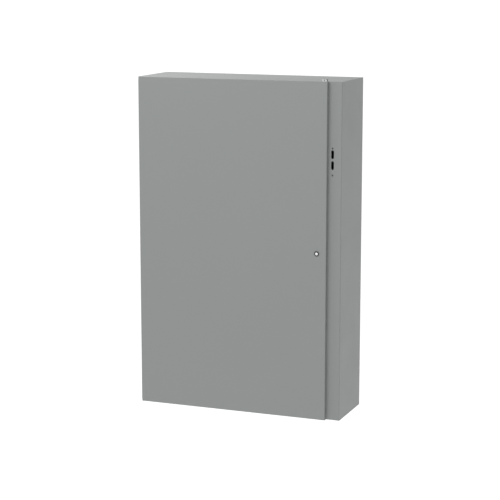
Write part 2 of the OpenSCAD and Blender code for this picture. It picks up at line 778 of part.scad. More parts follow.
module neutral_bar() color(copper) difference() {
  block([-390, -200], [45, 52], [neutral_z - 26, neutral_z + 26]);
  pin_out(-295, neutral_z, [44, 53], 9);
}

module neutral_insulators() color(red_moulding) for (x = [-345, -245]) {
  for (k = [0:3]) pin_out(x, neutral_z, [k * 12, k * 12 + 9], 40);
  pin_out(x, neutral_z, [0, 45], 32);
}

module ground_bar() color(copper) difference() {
  union() {
    block([60, 330], [12, 20], [ground_z - 12, ground_z + 12]);
    for (x = [70, 300]) block([x, x + 20], [0, 12.5], [ground_z - 10, ground_z + 10]);
  }
  for (x = [105:18:285]) {
    translate([x, panel_y - 16, ground_z - 13]) cylinder(d = 5, h = 26);
    pin_out(x, ground_z, [15, 21], 4);
  }
}

// Bundle that follows points given as [across, forward, up]
module bundle(points, d) for (k = [0:len(points) - 1]) {
  here = [points[k][0], panel_y - points[k][1], points[k][2]];
  translate(here) sphere(d = d);
  if (k > 0) {
    before = [points[k - 1][0], panel_y - points[k - 1][1], points[k - 1][2]];
    step = here - before;
    translate(before) rotate([0, acos(step.z / norm(step)), atan2(step.y, step.x)])
      cylinder(d = d, h = norm(step));
  }
}

module control_harness() color([0.15, 0.15, 0.17]) {
  $fn = 12;
  bundle([[-390, 12, -300], [-140, 12, -300], [-122, 14, -280], [-122, 14, -80], [-122, 30, -58]], 11);
  bundle([[-390, 12, 505], [268, 12, 505], [300, 16, 480], [300, 40, 330], [300, 66, 254]], 11);
  bundle([[-391, 34, 350], [-380, 34, 350]], 9.6);
}

module manual_handle() color(red_moulding) {
  pin_x(handle_x, 30, handle_z, 13.6);
  pin_x([handle_x[0], handle_x[0] + 110], 30, handle_z, 26);
}

module handle_clips() color(black_moulding) for (x = [-250, -130]) difference() {
  block([x, x + 16], [0, 42], [handle_z - 14, handle_z + 14]);
  pin_x([x - 1, x + 17], 30, handle_z, 13.8);
  block([x - 1, x + 17], [30, 43], [handle_z - 5.5, handle_z + 5.5]);
}

body_shell();
body_hinge_leaf();
hinge_pin();
sub_panel();
panel_fasteners();
door_panel();
door_hinge_leaf();
door_gasket();
door_stiffeners();
data_pocket();
latch_housing();
latch_nut();
rod_guides();
padlock_tab();
latch_insert();
latch_pinion();
latch_cam();
upper_rod();
lower_rod();
switch_mounting_plate();
switch_base();
side_plates();
shaft_bushes();
normal_contacts();
emergency_contacts();
load_contacts();
arc_chutes();
arc_plates();
pole_barriers();
cable_lugs();
lug_screws();
gearbox();
drive_motor();
auxiliary_switches();
transfer_shaft();
insulating_hubs();
moving_contacts();
sector_gear();
position_indicator();
drive_pinion();
controller_case();
display_window();
test_button();
menu_button();
reset_button();
selector_knob();
transformer_core();
transformer_coil();
control_breaker();
breaker_toggle();
din_rails();
relays();
terminal_blocks();
wiring_duct();
neutral_bar();
neutral_insulators();
ground_bar();
control_harness();
manual_handle();
handle_clips();
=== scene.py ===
"""Looks of a wall-mounted automatic transfer switch.

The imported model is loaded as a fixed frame. Each sub-assembly is a class that dresses its own
frame nodes, models the small pieces that belong to it, and lets every piece ride on its body.
Lengths are in metres; sizes written as n * MM are millimetres. Where a frame node's edges are
rounded, its points closer than MERGE_GAP are merged first, and its faces that meet flatter than
FLAT_ANGLE are joined. Its edges sharper than SHARP_ANGLE are then rounded, and the edges flatter
than ROUND_ANGLE are shaded as one smooth surface.
"""
import json
import logging
import math
from collections.abc import Callable, Iterable, Sequence
from dataclasses import dataclass, field
from enum import Enum

import bmesh
import bpy
from mathutils import Matrix, Vector


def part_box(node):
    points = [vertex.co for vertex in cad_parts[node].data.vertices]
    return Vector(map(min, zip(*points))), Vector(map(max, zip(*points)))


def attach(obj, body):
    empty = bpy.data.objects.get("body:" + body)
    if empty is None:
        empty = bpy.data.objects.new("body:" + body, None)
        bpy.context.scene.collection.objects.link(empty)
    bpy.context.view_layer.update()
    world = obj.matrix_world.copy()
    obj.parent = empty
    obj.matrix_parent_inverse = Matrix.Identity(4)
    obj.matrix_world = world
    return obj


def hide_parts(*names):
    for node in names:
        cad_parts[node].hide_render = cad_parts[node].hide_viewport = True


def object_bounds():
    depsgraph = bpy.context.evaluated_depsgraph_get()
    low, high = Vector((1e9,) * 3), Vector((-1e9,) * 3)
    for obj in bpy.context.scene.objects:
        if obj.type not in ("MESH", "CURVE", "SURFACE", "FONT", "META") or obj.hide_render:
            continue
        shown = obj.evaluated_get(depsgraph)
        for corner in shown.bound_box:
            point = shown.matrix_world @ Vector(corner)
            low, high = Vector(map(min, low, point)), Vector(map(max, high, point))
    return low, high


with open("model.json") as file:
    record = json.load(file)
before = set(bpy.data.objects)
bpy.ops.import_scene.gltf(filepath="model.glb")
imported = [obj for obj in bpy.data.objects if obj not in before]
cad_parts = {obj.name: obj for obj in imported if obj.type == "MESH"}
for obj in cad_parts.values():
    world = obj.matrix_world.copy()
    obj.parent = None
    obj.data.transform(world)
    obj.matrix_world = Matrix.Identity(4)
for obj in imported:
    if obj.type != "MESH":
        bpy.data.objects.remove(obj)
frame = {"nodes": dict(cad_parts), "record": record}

MM = 0.001
CAD_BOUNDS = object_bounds()
MERGE_GAP = 0.002 * MM
FLAT_ANGLE = math.radians(0.2)
SHARP_ANGLE = math.radians(40)
ROUND_ANGLE = math.radians(50)
log = logging.getLogger("transfer_switch")

Color = tuple[float, float, float]
Point = tuple[float, float, float]


class Body(Enum):
    """The moving bodies of the frame."""

    ENCLOSURE = "enclosure"
    DOOR = "door"
    LATCH = "latch"
    UPPER_ROD = "upper_lock_rod"
    LOWER_ROD = "lower_lock_rod"
    TRANSFER = "transfer_mechanism"
    PINION = "motor_pinion"
    TEST_KEY = "test_key"
    MENU_KEY = "menu_key"
    RESET_KEY = "reset_key"
    SELECTOR = "mode_selector"
    BREAKER = "breaker_lever"


# ---- Shader arithmetic ---------------------------------------------------------------------


@dataclass(frozen=True)
class Signal:
    """A number on its way through a material; arithmetic on it adds Math nodes.

    Attributes:
        graph: The tree that it belongs to.
        socket: The output that carries it.
    """

    graph: "Graph"
    socket: bpy.types.NodeSocket

    def math(self, operation: str, *others: "Signal | float") -> "Signal":
        """Adds one Math node.

        Args:
            operation: The Math node's operation.
            *others: What fills the sockets after the first.

        Returns:
            The node's result.
        """
        inputs = dict(enumerate((self, *others)))
        return self.graph.add("ShaderNodeMath", {"operation": operation}, inputs)

    def __add__(self, other: "Signal | float") -> "Signal":
        """Returns the sum."""
        return self.math("ADD", other)

    def __sub__(self, other: "Signal | float") -> "Signal":
        """Returns the difference."""
        return self.math("SUBTRACT", other)

    def __mul__(self, other: "Signal | float") -> "Signal":
        """Returns the product."""
        return self.math("MULTIPLY", other)

    def __rsub__(self, other: float) -> "Signal":
        """Returns a plain number minus this."""
        return self.math("MULTIPLY", -1.0) + other

    __radd__ = __add__
    __rmul__ = __mul__


class Graph:
    """The node tree of one material or world, with a single method that adds any node."""

    def __init__(self, owner: bpy.types.Material | bpy.types.World, shader: str) -> None:
        """Starts the tree.

        Args:
            owner: The material or world that the tree belongs to.
            shader: The name of the shader node that it starts with.
        """
        owner.use_nodes = True
        self.owner = owner
        self.tree = owner.node_tree
        self.shader = self.tree.nodes[shader]

    @classmethod
    def material(cls, name: str) -> "Graph":
        """Returns the tree of a new material."""
        return cls(bpy.data.materials.new(name), "Principled BSDF")

    def feed(self, socket: bpy.types.NodeSocket, value: object) -> None:
        """Links a signal into a socket, or sets the socket's own value.

        Args:
            socket: The socket to fill.
            value: A Signal, a number, a colour or a vector.
        """
        if isinstance(value, Signal):
            self.tree.links.new(value.socket, socket)
        else:
            socket.default_value = value

    def add(self, kind: str, settings: dict | None = None, inputs: dict | None = None,
            output: int | str = 0) -> Signal:
        """Adds a node.

        Args:
            kind: The node's type.
            settings: Properties set first; "stops" sets a ramp's places and colours.
            inputs: Values or signals by socket name or number.
            output: The socket that is returned.

        Returns:
            The chosen output.
        """
        node = self.tree.nodes.new(kind)
        for key, value in (settings or {}).items():
            if key == "stops":
                for element, (place, color) in zip(node.color_ramp.elements, value):
                    element.position = place
                    element.color = (*color, 1.0)
            else:
                setattr(node, key, value)
        for key, value in (inputs or {}).items():
            self.feed(node.inputs[key], value)
        return Signal(self, node.outputs[output])

    def place(self, stretch: Point = (1.0, 1.0, 1.0)) -> Signal:
        """Returns the object coordinates in metres, stretched along the axes."""
        where = self.add("ShaderNodeTexCoord", output="Object")
        return self.add("ShaderNodeMapping", {}, {"Vector": where, "Scale": stretch})

    def noise(self, where: Signal, size: float, detail: float = 2.0) -> Signal:
        """Adds a noise pattern.

        Args:
            where: The coordinates.
            size: The size of its features in metres.
            detail: How many finer octaves it has.

        Returns:
            Noise from 0 to 1.
        """
        return self.add("ShaderNodeTexNoise", {}, {"Vector": where, "Scale": 1 / size, "Detail": detail})

    def tint(self, amount: Signal, low: Color, high: Color) -> Signal:
        """Returns a colour between two, by an amount from 0 to 1."""
        settings = {"data_type": "RGBA", "clamp_factor": True}
        return self.add("ShaderNodeMix", settings, {0: amount, 6: (*low, 1.0), 7: (*high, 1.0)}, 2)

    def bump(self, height: Signal, distance: float, strength: float = 1.0) -> None:
        """Gives the shader a relief.

        Args:
            height: Relief from 0 to 1.
            distance: Its depth in metres.
            strength: How much of it is used.
        """
        inputs = {"Height": height, "Distance": distance, "Strength": strength}
        self.feed(self.shader.inputs["Normal"], self.add("ShaderNodeBump", {}, inputs))


def shade(color: Color, factor: float) -> Color:
    """Returns a colour made lighter or darker by a factor."""
    return tuple(min(1.0, part * factor) for part in color)


# ---- Finishes ------------------------------------------------------------------------------


@dataclass(frozen=True)
class Finish:
    """A surface finish with a slow change of tone and of gloss.

    Attributes:
        name: The material's name.
        slot: The record's material slot; not used.
        color: Base colour.
        roughness: Middle roughness.
        metallic: 1 on bare metal.
        variation: How far the tone strays from the base colour.
        patch: Size of the patches of tone, in metres.
    """

    name: str
    slot: str
    color: Color
    roughness: float
    metallic: float = 0.0
    variation: float = 0.04
    patch: float = 0.05

    def relief(self, graph: Graph) -> None:
        """Adds the finish's small-scale relief; a plain finish has a fine grain."""
        graph.bump(graph.noise(graph.place(), 0.8 * MM, 3.0), 0.03 * MM, 0.5)

    def dress(self, graph: Graph) -> None:
        """Sets colour and gloss.

        Args:
            graph: The tree of the material that is being made.
        """
        patches = graph.noise(graph.place(), self.patch, 3.0)
        low, high = shade(self.color, 1 - self.variation), shade(self.color, 1 + self.variation)
        graph.feed(graph.shader.inputs["Base Color"], graph.tint(patches, low, high))
        smears = graph.noise(graph.place(), self.patch * 0.4, 2.0)
        graph.feed(graph.shader.inputs["Roughness"], smears * 0.12 + (self.roughness - 0.06))

    def material(self) -> bpy.types.Material:
        """Makes the finish's material, or finds it again.

        Returns:
            The one material of this finish.
        """
        known = bpy.data.materials.get(self.name)
        if known:
            return known
        graph = Graph.material(self.name)
        graph.shader.inputs["Metallic"].default_value = self.metallic
        self.dress(graph)
        self.relief(graph)
        return graph.owner


@dataclass(frozen=True)
class PowderCoat(Finish):
    """Baked polyester powder with the soft orange-peel relief of sprayed sheet.

    Attributes:
        peel: Depth of the orange peel.
    """

    peel: float = 0.02 * MM

    def relief(self, graph: Graph) -> None:
        """Adds the orange peel."""
        graph.bump(graph.noise(graph.place(), 3.5 * MM, 1.0), self.peel, 0.35)


@dataclass(frozen=True)
class ZincPlate(Finish):
    """Plated steel with faint spangle and rolling marks."""

    def dress(self, graph: Graph) -> None:
        """Sets the plate's spangle and gloss.

        Args:
            graph: The tree of the material that is being made.
        """
        spangle = graph.add("ShaderNodeTexVoronoi", {}, {"Vector": graph.place(), "Scale": 140.0}, "Color")
        grey = graph.add("ShaderNodeSeparateColor", {}, {"Color": spangle})
        streaks = graph.noise(graph.place((1.0, 1.0, 0.08)), 1.2 * MM, 2.0)
        mixed = grey * 0.5 + streaks * 0.5
        low, high = shade(self.color, 1 - self.variation), shade(self.color, 1 + self.variation)
        graph.feed(graph.shader.inputs["Base Color"], graph.tint(mixed, low, high))
        graph.feed(graph.shader.inputs["Roughness"], mixed * 0.16 + (self.roughness - 0.08))


@dataclass(frozen=True)
class BareBar(Finish):
    """Rolled copper or bronze, drawn along one way and slightly tarnished.

    Attributes:
        tarnish: Colour of the stains.
    """

    tarnish: Color = (0.30, 0.14, 0.07)

    def dress(self, graph: Graph) -> None:
        """Sets the metal's tarnish and drawn gloss.

        Args:
            graph: The tree of the material that is being made.
        """
        stain = graph.add("ShaderNodeValToRGB", {"stops": ((0.45, (0, 0, 0)), (0.75, (1, 1, 1)))},
                          {"Fac": graph.noise(graph.place(), self.patch, 4.0)})
        amount = graph.add("ShaderNodeSeparateColor", {}, {"Color": stain}) * 0.35
        graph.feed(graph.shader.inputs["Base Color"], graph.tint(amount, self.color, self.tarnish))
        lines = graph.noise(graph.place((1.0, 1.0, 0.05)), 0.9 * MM, 2.0)
        graph.feed(graph.shader.inputs["Roughness"], lines * 0.2 + amount * 0.4 + (self.roughness - 0.1))


@dataclass(frozen=True)
class Layered(Finish):
    """Stacked or wound material: fine parallel edges along one axis.

    Attributes:
        axis: 0, 1 or 2, the axis that the layers are stacked along.
        pitch: Distance from layer to layer in metres.
    """

    axis: int = 1
    pitch: float = 1.2 * MM

    def waves(self, graph: Graph) -> Signal:
        """Returns a wave from 0 to 1 across the layers."""
        parts = graph.add("ShaderNodeSeparateXYZ", {}, {"Vector": graph.place()}, self.axis)
        return (parts * (math.tau / self.pitch)).math("SINE") * 0.5 + 0.5

    def dress(self, graph: Graph) -> None:
        """Sets a darker line between the layers.

        Args:
            graph: The tree of the material that is being made.
        """
        blur = graph.noise(graph.place(), self.patch, 2.0) * 0.4
        high = shade(self.color, 1 + self.variation)
        edges = self.waves(graph) * 0.6 + blur
        graph.feed(graph.shader.inputs["Base Color"], graph.tint(edges, shade(self.color, 0.55), high))
        graph.feed(graph.shader.inputs["Roughness"], 0.1 * edges + (self.roughness - 0.05))

    def relief(self, graph: Graph) -> None:
        """Adds the ridges of the layers."""
        graph.bump(self.waves(graph), 0.12 * MM, 0.8)


@dataclass(frozen=True)
class Braid(Finish):
    """Woven sleeve: two crossing sets of ridges.

    Attributes:
        strand: Distance from strand to strand.
    """

    strand: float = 1.6 * MM

    def relief(self, graph: Graph) -> None:
        """Adds the crossing strands.

        Args:
            graph: The tree of the material that is being made.
        """
        x, y, z = (graph.add("ShaderNodeSeparateXYZ", {}, {"Vector": graph.place()}, k) for k in range(3))
        turn = math.tau / self.strand
        one = ((x + y + z) * turn).math("SINE")
        two = ((x - y - z) * turn).math("SINE")
        graph.bump(one * two * 0.5 + 0.5, 0.25 * MM, 0.9)


@dataclass(frozen=True)
class Clear(Finish):
    """Clear or smoked moulding that shows what is behind it.

    Attributes:
        alpha: How much of it is seen, from 0 to 1.
    """

    alpha: float = 0.4

    def dress(self, graph: Graph) -> None:
        """Sets the tone and gloss, and lets the inside show through."""
        super().dress(graph)
        graph.shader.inputs["Alpha"].default_value = self.alpha


@dataclass(frozen=True)
class Lamp(Finish):
    """A small lit lens.

    Attributes:
        glow: Strength of its light.
    """

    glow: float = 1.0

    def dress(self, graph: Graph) -> None:
        """Sets the lens and its glow.

        Args:
            graph: The tree of the material that is being made.
        """
        super().dress(graph)
        graph.shader.inputs["Emission Color"].default_value = (*self.color, 1.0)
        graph.shader.inputs["Emission Strength"].default_value = self.glow


GREY_PAINT = PowderCoat("grey_powder_coat", "grey_paint", (0.236, 0.2485, 0.2440), 0.5, variation=0.012,
                        patch=0.4)
WHITE_PAINT = PowderCoat("white_powder_coat", "white_paint", (0.80, 0.80, 0.77), 0.34, variation=0.01,
                         patch=0.3)
ZINC = ZincPlate("zinc_plate", "zinc_steel", (0.55, 0.56, 0.56), 0.34, 1.0, 0.16)
HINGE_STEEL = ZincPlate("hinge_steel", "zinc_steel", (0.33, 0.34, 0.34), 0.42, 1.0, 0.1)
BRIGHT = Finish("polished_latch", "bright_latch", (0.93, 0.93, 0.92), 0.2, 1.0, 0.02, 0.01)
BLACK_MOULDING = Finish("black_moulding", "black_moulding", (0.022, 0.022, 0.024), 0.48, variation=0.1)
RUBBER = Finish("seal_rubber", "seal_rubber", (0.018, 0.018, 0.018), 0.72, variation=0.15)
GREY_MOULDING = Finish("grey_moulding", "grey_moulding", (0.15, 0.155, 0.16), 0.5, variation=0.03)
CASTING = Finish("gear_casting", "gear_casting", (0.42, 0.43, 0.44), 0.46, 1.0, 0.08, 0.01)
RED_MOULDING = Finish("red_moulding", "red_moulding", (0.24, 0.035, 0.022), 0.5, variation=0.12, patch=0.01)
COPPER = BareBar("copper_bar", "copper", (0.83, 0.42, 0.27), 0.3, 1.0, patch=0.03)
BRONZE = BareBar("bronze_bush", "bronze", (0.6, 0.4, 0.17), 0.38, 1.0, patch=0.01)
LUG_METAL = ZincPlate("tinned_lug", "lug_aluminium", (0.74, 0.74, 0.73), 0.3, 1.0, 0.05)
CHUTE_BOARD = Finish("chute_board", "chute_board", (0.50, 0.42, 0.28), 0.62, variation=0.1, patch=0.008)
MOTOR_ENAMEL = PowderCoat("motor_enamel", "motor_black", (0.02, 0.022, 0.026), 0.3, variation=0.1)
GEAR_STEEL = ZincPlate("gear_steel", "gear_steel", (0.32, 0.33, 0.35), 0.32, 1.0, 0.12)
INDICATOR = Finish("indicator_white", "indicator_white", (0.72, 0.72, 0.68), 0.3, variation=0.02)
DISPLAY = Finish("display_window", "display_dark", (0.010, 0.022, 0.018), 0.08, variation=0.1)
GREEN_KEY = Finish("green_key", "green_button", (0.02, 0.2, 0.05), 0.32, variation=0.04)
GREY_KEY = Finish("grey_key", "grey_button", (0.42, 0.42, 0.42), 0.34, variation=0.03)
RED_KEY = Finish("red_key", "red_button", (0.5, 0.016, 0.012), 0.32, variation=0.04)
LAMINATIONS = Layered("core_laminations", "core_steel", (0.07, 0.07, 0.075), 0.4, 0.4, 0.1)
WINDING = Layered("winding_tape", "coil_tape", (0.62, 0.42, 0.12), 0.4, variation=0.12, axis=2,
                  pitch=6 * MM)
COIL_COPPER = Layered("enamelled_wire", "coil_tape", (0.42, 0.13, 0.045), 0.35, 0.6, 0.1, axis=1,
                      pitch=0.9 * MM)
TOGGLE_WHITE = Finish("toggle_white", "toggle_white", (0.7, 0.7, 0.67), 0.3, variation=0.02)
RELAY_COVER = Clear("relay_cover", "relay_clear", (0.62, 0.6, 0.45), 0.12, variation=0.02, alpha=0.45)
TERMINAL_GREY = Finish("terminal_grey", "terminal_grey", (0.33, 0.34, 0.33), 0.45, variation=0.03)
DUCT_GREY = Finish("duct_grey", "duct_grey", (0.40, 0.41, 0.41), 0.42, variation=0.02, patch=0.2)
SLEEVE = Braid("braided_sleeve", "harness_sleeve", (0.022, 0.022, 0.026), 0.55, variation=0.15)
WIRE_COLORS = {
    "red": Finish("red_wire", "harness_sleeve", (0.42, 0.012, 0.012), 0.35),
    "black": Finish("black_wire", "harness_sleeve", (0.016, 0.016, 0.018), 0.35),
    "blue": Finish("blue_wire", "harness_sleeve", (0.012, 0.05, 0.30), 0.35),
    "white": Finish("white_wire", "harness_sleeve", (0.62, 0.62, 0.6), 0.35),
    "green": Finish("green_wire", "harness_sleeve", (0.01, 0.22, 0.04), 0.35),
}
LAMPS = (
    Lamp("green_lamp", "green_button", (0.05, 0.8, 0.15), 0.2, glow=1.5),
    Lamp("amber_lamp", "red_button", (0.9, 0.42, 0.03), 0.2, glow=0.6),
    Lamp("red_lamp", "red_button", (0.85, 0.03, 0.02), 0.2, glow=0.6),
)


# ---- Bench: modelling with the edit-mode operators -----------------------------------------


def only(piece: bpy.types.Object) -> None:
    """Selects one object alone and makes it active.

    Args:
        piece: The object.
    """
    bpy.ops.object.select_all(action="DESELECT")
    piece.select_set(True)
    bpy.context.view_layer.objects.active = piece


def dress_and_ride(piece: bpy.types.Object, finish: Finish, body: Body) -> bpy.types.Object:
    """Gives a finished mesh its material and body.

    Args:
        piece: The object, in place and with its mesh applied.
        finish: What it is covered with.
        body: The body that it moves with.

    Returns:
        The same object.
    """
    piece.data.materials.clear()
    piece.data.materials.append(finish.material())
    log.info("piece %s: %d faces on %s", piece.name, len(piece.data.polygons), body.value)
    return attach(piece, body.value)


class Piece:
    """One mesh on the bench, shaped in edit mode and finished with modifiers."""

    def __init__(self, name: str) -> None:
        """Takes the object that the last operator made.

        Args:
            name: The piece's name.
        """
        self.obj = bpy.context.active_object
        self.obj.name = name
        bpy.ops.object.transform_apply(location=True, rotation=True, scale=True)

    @classmethod
    def block(cls, name: str, low: Sequence[float], high: Sequence[float]) -> "Piece":
        """Adds a box from its lowest to its highest corner.

        Args:
            name: The piece's name.
            low: The lowest corner.
            high: The highest corner.

        Returns:
            The piece, ready to be shaped.
        """
        low, high = Vector(low), Vector(high)
        bpy.ops.object.select_all(action="DESELECT")
        bpy.ops.mesh.primitive_cube_add(size=1, location=(low + high) / 2, scale=high - low)
        return cls(name)

    @classmethod
    def turned(cls, name: str, start: Sequence[float], end: Sequence[float], radius: float,
               sides: int = 24) -> "Piece":
        """Adds a round bar between two points.

        Args:
            name: The piece's name.
            start: The middle of one end.
            end: The middle of the other.
            radius: Its radius.
            sides: How many sides the bar has.

        Returns:
            The piece, ready to be shaped.
        """
        start, end = Vector(start), Vector(end)
        turn = (end - start).to_track_quat("Z", "Y").to_euler()
        bpy.ops.object.select_all(action="DESELECT")
        bpy.ops.mesh.primitive_cylinder_add(vertices=sides, radius=radius, depth=(end - start).length,
                                            location=(start + end) / 2, rotation=turn)
        return cls(name)

    def pick(self, test: Callable[[bmesh.types.BMFace], bool]) -> "Piece":
        """Selects the faces that pass a test, in edit mode.

        Args:
            test: Says whether a face is wanted.

        Returns:
            The same piece.
        """
        if self.obj.mode != "EDIT":
            only(self.obj)
            bpy.ops.object.mode_set(mode="EDIT")
            bpy.ops.mesh.select_mode(type="FACE")
        mesh = bmesh.from_edit_mesh(self.obj.data)
        for face in mesh.faces:
            face.select_set(test(face))
        bmesh.update_edit_mesh(self.obj.data)
        return self

    def facing(self, way: Point, limit: float = 0.9) -> "Piece":
        """Selects the faces that look one way."""
        return self.pick(lambda face: face.normal.dot(Vector(way)) > limit)

    def inset(self, width: float, depth: float = 0.0) -> "Piece":
        """Insets the picked faces, and raises or sinks them by a depth."""
        bpy.ops.mesh.inset(thickness=width, depth=depth, use_boundary=True)
        return self

    def extrude(self, move: Sequence[float], scale: float = 1.0) -> "Piece":
        """Extrudes the picked faces.

        Args:
            move: How far the new faces move.
            scale: How far they then spread or shrink about their own middle.

        Returns:
            The same piece.
        """
        bpy.ops.mesh.extrude_region_move(TRANSFORM_OT_translate={"value": tuple(move)})
        if scale != 1.0:
            bpy.ops.transform.resize(value=(scale, scale, scale))
        return self

    def windowed(self, width: float) -> "Piece":
        """Opens the piece from front to back and leaves a frame.

        Args:
            width: The width of the frame.

        Returns:
            The same piece.
        """
        self.pick(lambda face: abs(face.normal.y) > 0.9)
        bpy.ops.mesh.inset(thickness=width, use_boundary=True)
        bpy.ops.mesh.delete(type="FACE")
        bpy.ops.mesh.select_mode(type="EDGE")
        bpy.ops.mesh.select_all(action="DESELECT")
        bpy.ops.mesh.select_non_manifold()
        bpy.ops.mesh.bridge_edge_loops()
        bpy.ops.mesh.select_mode(type="FACE")
        bpy.ops.mesh.select_all(action="SELECT")
        bpy.ops.mesh.normals_make_consistent(inside=False)
        return self

    def rounded(self, width: float, segments: int = 2, angle: float = 35.0) -> "Piece":
        """Rounds the sharp edges with an applied Bevel.

        Args:
            width: The bevel's width.
            segments: How many faces it has.
            angle: Only edges sharper than this are rounded, in degrees.

        Returns:
            The same piece.
        """
        self.rest()
        bevel = self.obj.modifiers.new("rounded", "BEVEL")
        bevel.width, bevel.segments = width, segments
        bevel.limit_method, bevel.angle_limit = "ANGLE", math.radians(angle)
        bpy.ops.object.modifier_apply(modifier=bevel.name)
        return self

    def rest(self) -> "Piece":
        """Leaves edit mode, with this piece alone selected.

        Returns:
            The same piece.
        """
        if self.obj.mode == "EDIT":
            bpy.ops.object.mode_set(mode="OBJECT")
        only(self.obj)
        return self

    def repeat(self, moves: Iterable[Sequence[float]]) -> "Piece":
        """Copies the piece to other places, each copy with its own mesh, and joins them.

        Args:
            moves: How far each copy stands from the first.

        Returns:
            The same piece, now a group of separate shells.
        """
        self.rest()
        copies = []
        for move in moves:
            copy = self.obj.copy()
            copy.data = self.obj.data.copy()
            copy.data.transform(Matrix.Translation(Vector(move)))
            bpy.context.collection.objects.link(copy)
            copies.append(copy)
        for copy in copies:
            copy.select_set(True)
        bpy.ops.object.join()
        return self

    def done(self, finish: Finish, body: Body = Body.ENCLOSURE, smooth: float = 40.0) -> bpy.types.Object:
        """Shades, dresses and mounts the piece.

        Args:
            finish: What it is covered with.
            body: The body that it moves with.
            smooth: Edges flatter than this are shaded round, in degrees.

        Returns:
            The finished object.
        """
        self.rest()
        bpy.ops.object.shade_smooth_by_angle(angle=math.radians(smooth))
        return dress_and_ride(self.obj, finish, body)


def screw(name: str, head: Sequence[float], radius: float, height: float, slotted: bool = True) -> Piece:
    """Models a screw head that looks forward.

    Args:
        name: The piece's name.
        head: The middle of the underside of the head.
        radius: The head's radius.
        height: The head's height.
        slotted: Whether it has a slot; a screw without one has a hexagon socket.

    Returns:
        The screw, ready to be repeated.
    """
    start = Vector(head)
    end = start + Vector((0, -height, 0))
    piece = Piece.turned(name, start, end, radius, 20)
    piece.facing((0, -1, 0)).inset(radius * 0.22, 0.0)
    if slotted:
        half = radius * 0.16
        for side in (-half, half):
            bpy.ops.mesh.bisect(plane_co=(start.x, start.y, start.z + side), plane_no=(0, 0, 1))
            piece.facing((0, -1, 0))
        piece.pick(lambda face: face.normal.y < -0.9 and abs(face.calc_center_median().z - start.z) < half)
        piece.extrude((0, height * 0.45, 0))
    else:
        piece.pick(lambda face: face.normal.y < -0.9 and face.calc_area() > 1.2 * radius ** 2)
        piece.inset(radius * 0.2, -height * 0.5)
    return piece.rounded(radius * 0.08, 1, 50.0)


def wire(name: str, points: Sequence[Point], radius: float, finish: Finish,
         body: Body = Body.ENCLOSURE) -> bpy.types.Object:
    """Lays a round wire along a smooth curve.

    Args:
        name: The piece's name.
        points: The points that it passes through.
        radius: Its radius.
        finish: Its insulation.
        body: The body that it moves with.

    Returns:
        The finished mesh.
    """
    curve = bpy.data.curves.new(name, "CURVE")
    curve.dimensions = "3D"
    curve.bevel_depth, curve.bevel_resolution, curve.resolution_u = radius, 2, 5
    curve.use_fill_caps = True
    spline = curve.splines.new("BEZIER")
    spline.bezier_points.add(len(points) - 1)
    for knot, point in zip(spline.bezier_points, points):
        knot.co = point
        knot.handle_left_type = knot.handle_right_type = "AUTO"
    obj = bpy.data.objects.new(name, curve)
    bpy.context.collection.objects.link(obj)
    only(obj)
    bpy.ops.object.convert(target="MESH")
    bpy.ops.object.shade_smooth_by_angle(angle=ROUND_ANGLE)
    return dress_and_ride(bpy.context.active_object, finish, body)


NODE_BODY = {node: body for body, nodes in frame["record"]["behaviour"]["bodies"].items() for node in nodes}


def soften(node: str, finish: Finish, width: float, segments: int = 2,
           slack: float = 0.0) -> bpy.types.Object:
    """Replaces a frame node with a merged copy whose edges are lightly rounded.

    Args:
        node: The frame node.
        finish: What it is covered with.
        width: The width of the rounded edges.
        segments: How many faces each rounded edge has.
        slack: How far every face is drawn inward, for a part that turns in a close bore.

    Returns:
        The copy, riding on the node's own body.
    """
    source = frame["nodes"][node]
    mesh = source.data.copy()
    copy = bpy.data.objects.new(f"{node}_finished", mesh)
    bpy.context.collection.objects.link(copy)
    only(copy)
    bpy.ops.object.mode_set(mode="EDIT")
    bpy.ops.mesh.select_all(action="SELECT")
    bpy.ops.mesh.remove_doubles(threshold=MERGE_GAP)
    bpy.ops.mesh.dissolve_limited(angle_limit=FLAT_ANGLE)
    bpy.ops.mesh.select_all(action="SELECT")
    if slack:
        bpy.ops.transform.shrink_fatten(value=-slack, use_even_offset=True)
    bpy.ops.object.mode_set(mode="OBJECT")
    bevel = copy.modifiers.new("edges", "BEVEL")
    bevel.width, bevel.segments = width, segments
    bevel.limit_method, bevel.angle_limit = "ANGLE", SHARP_ANGLE
    bpy.ops.object.modifier_apply(modifier=bevel.name)
    bpy.ops.object.shade_smooth_by_angle(angle=ROUND_ANGLE)
    even = copy.modifiers.new("even", "WEIGHTED_NORMAL")
    even.keep_sharp, even.weight = True, 100
    bpy.ops.object.modifier_apply(modifier=even.name)
    dress_and_ride(copy, finish, Body(NODE_BODY[node]))
    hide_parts(node)
    return copy


def dress_node(node: str, finish: Finish) -> None:
    """Gives a frame node that keeps its own mesh a better material.

    Args:
        node: The frame node.
        finish: What it is covered with.
    """
    obj = frame["nodes"][node]
    if not obj.material_slots:
        obj.data.materials.append(finish.material())
    for place in obj.material_slots:
        place.material = finish.material()


# ---- Studio --------------------------------------------------------------------------------


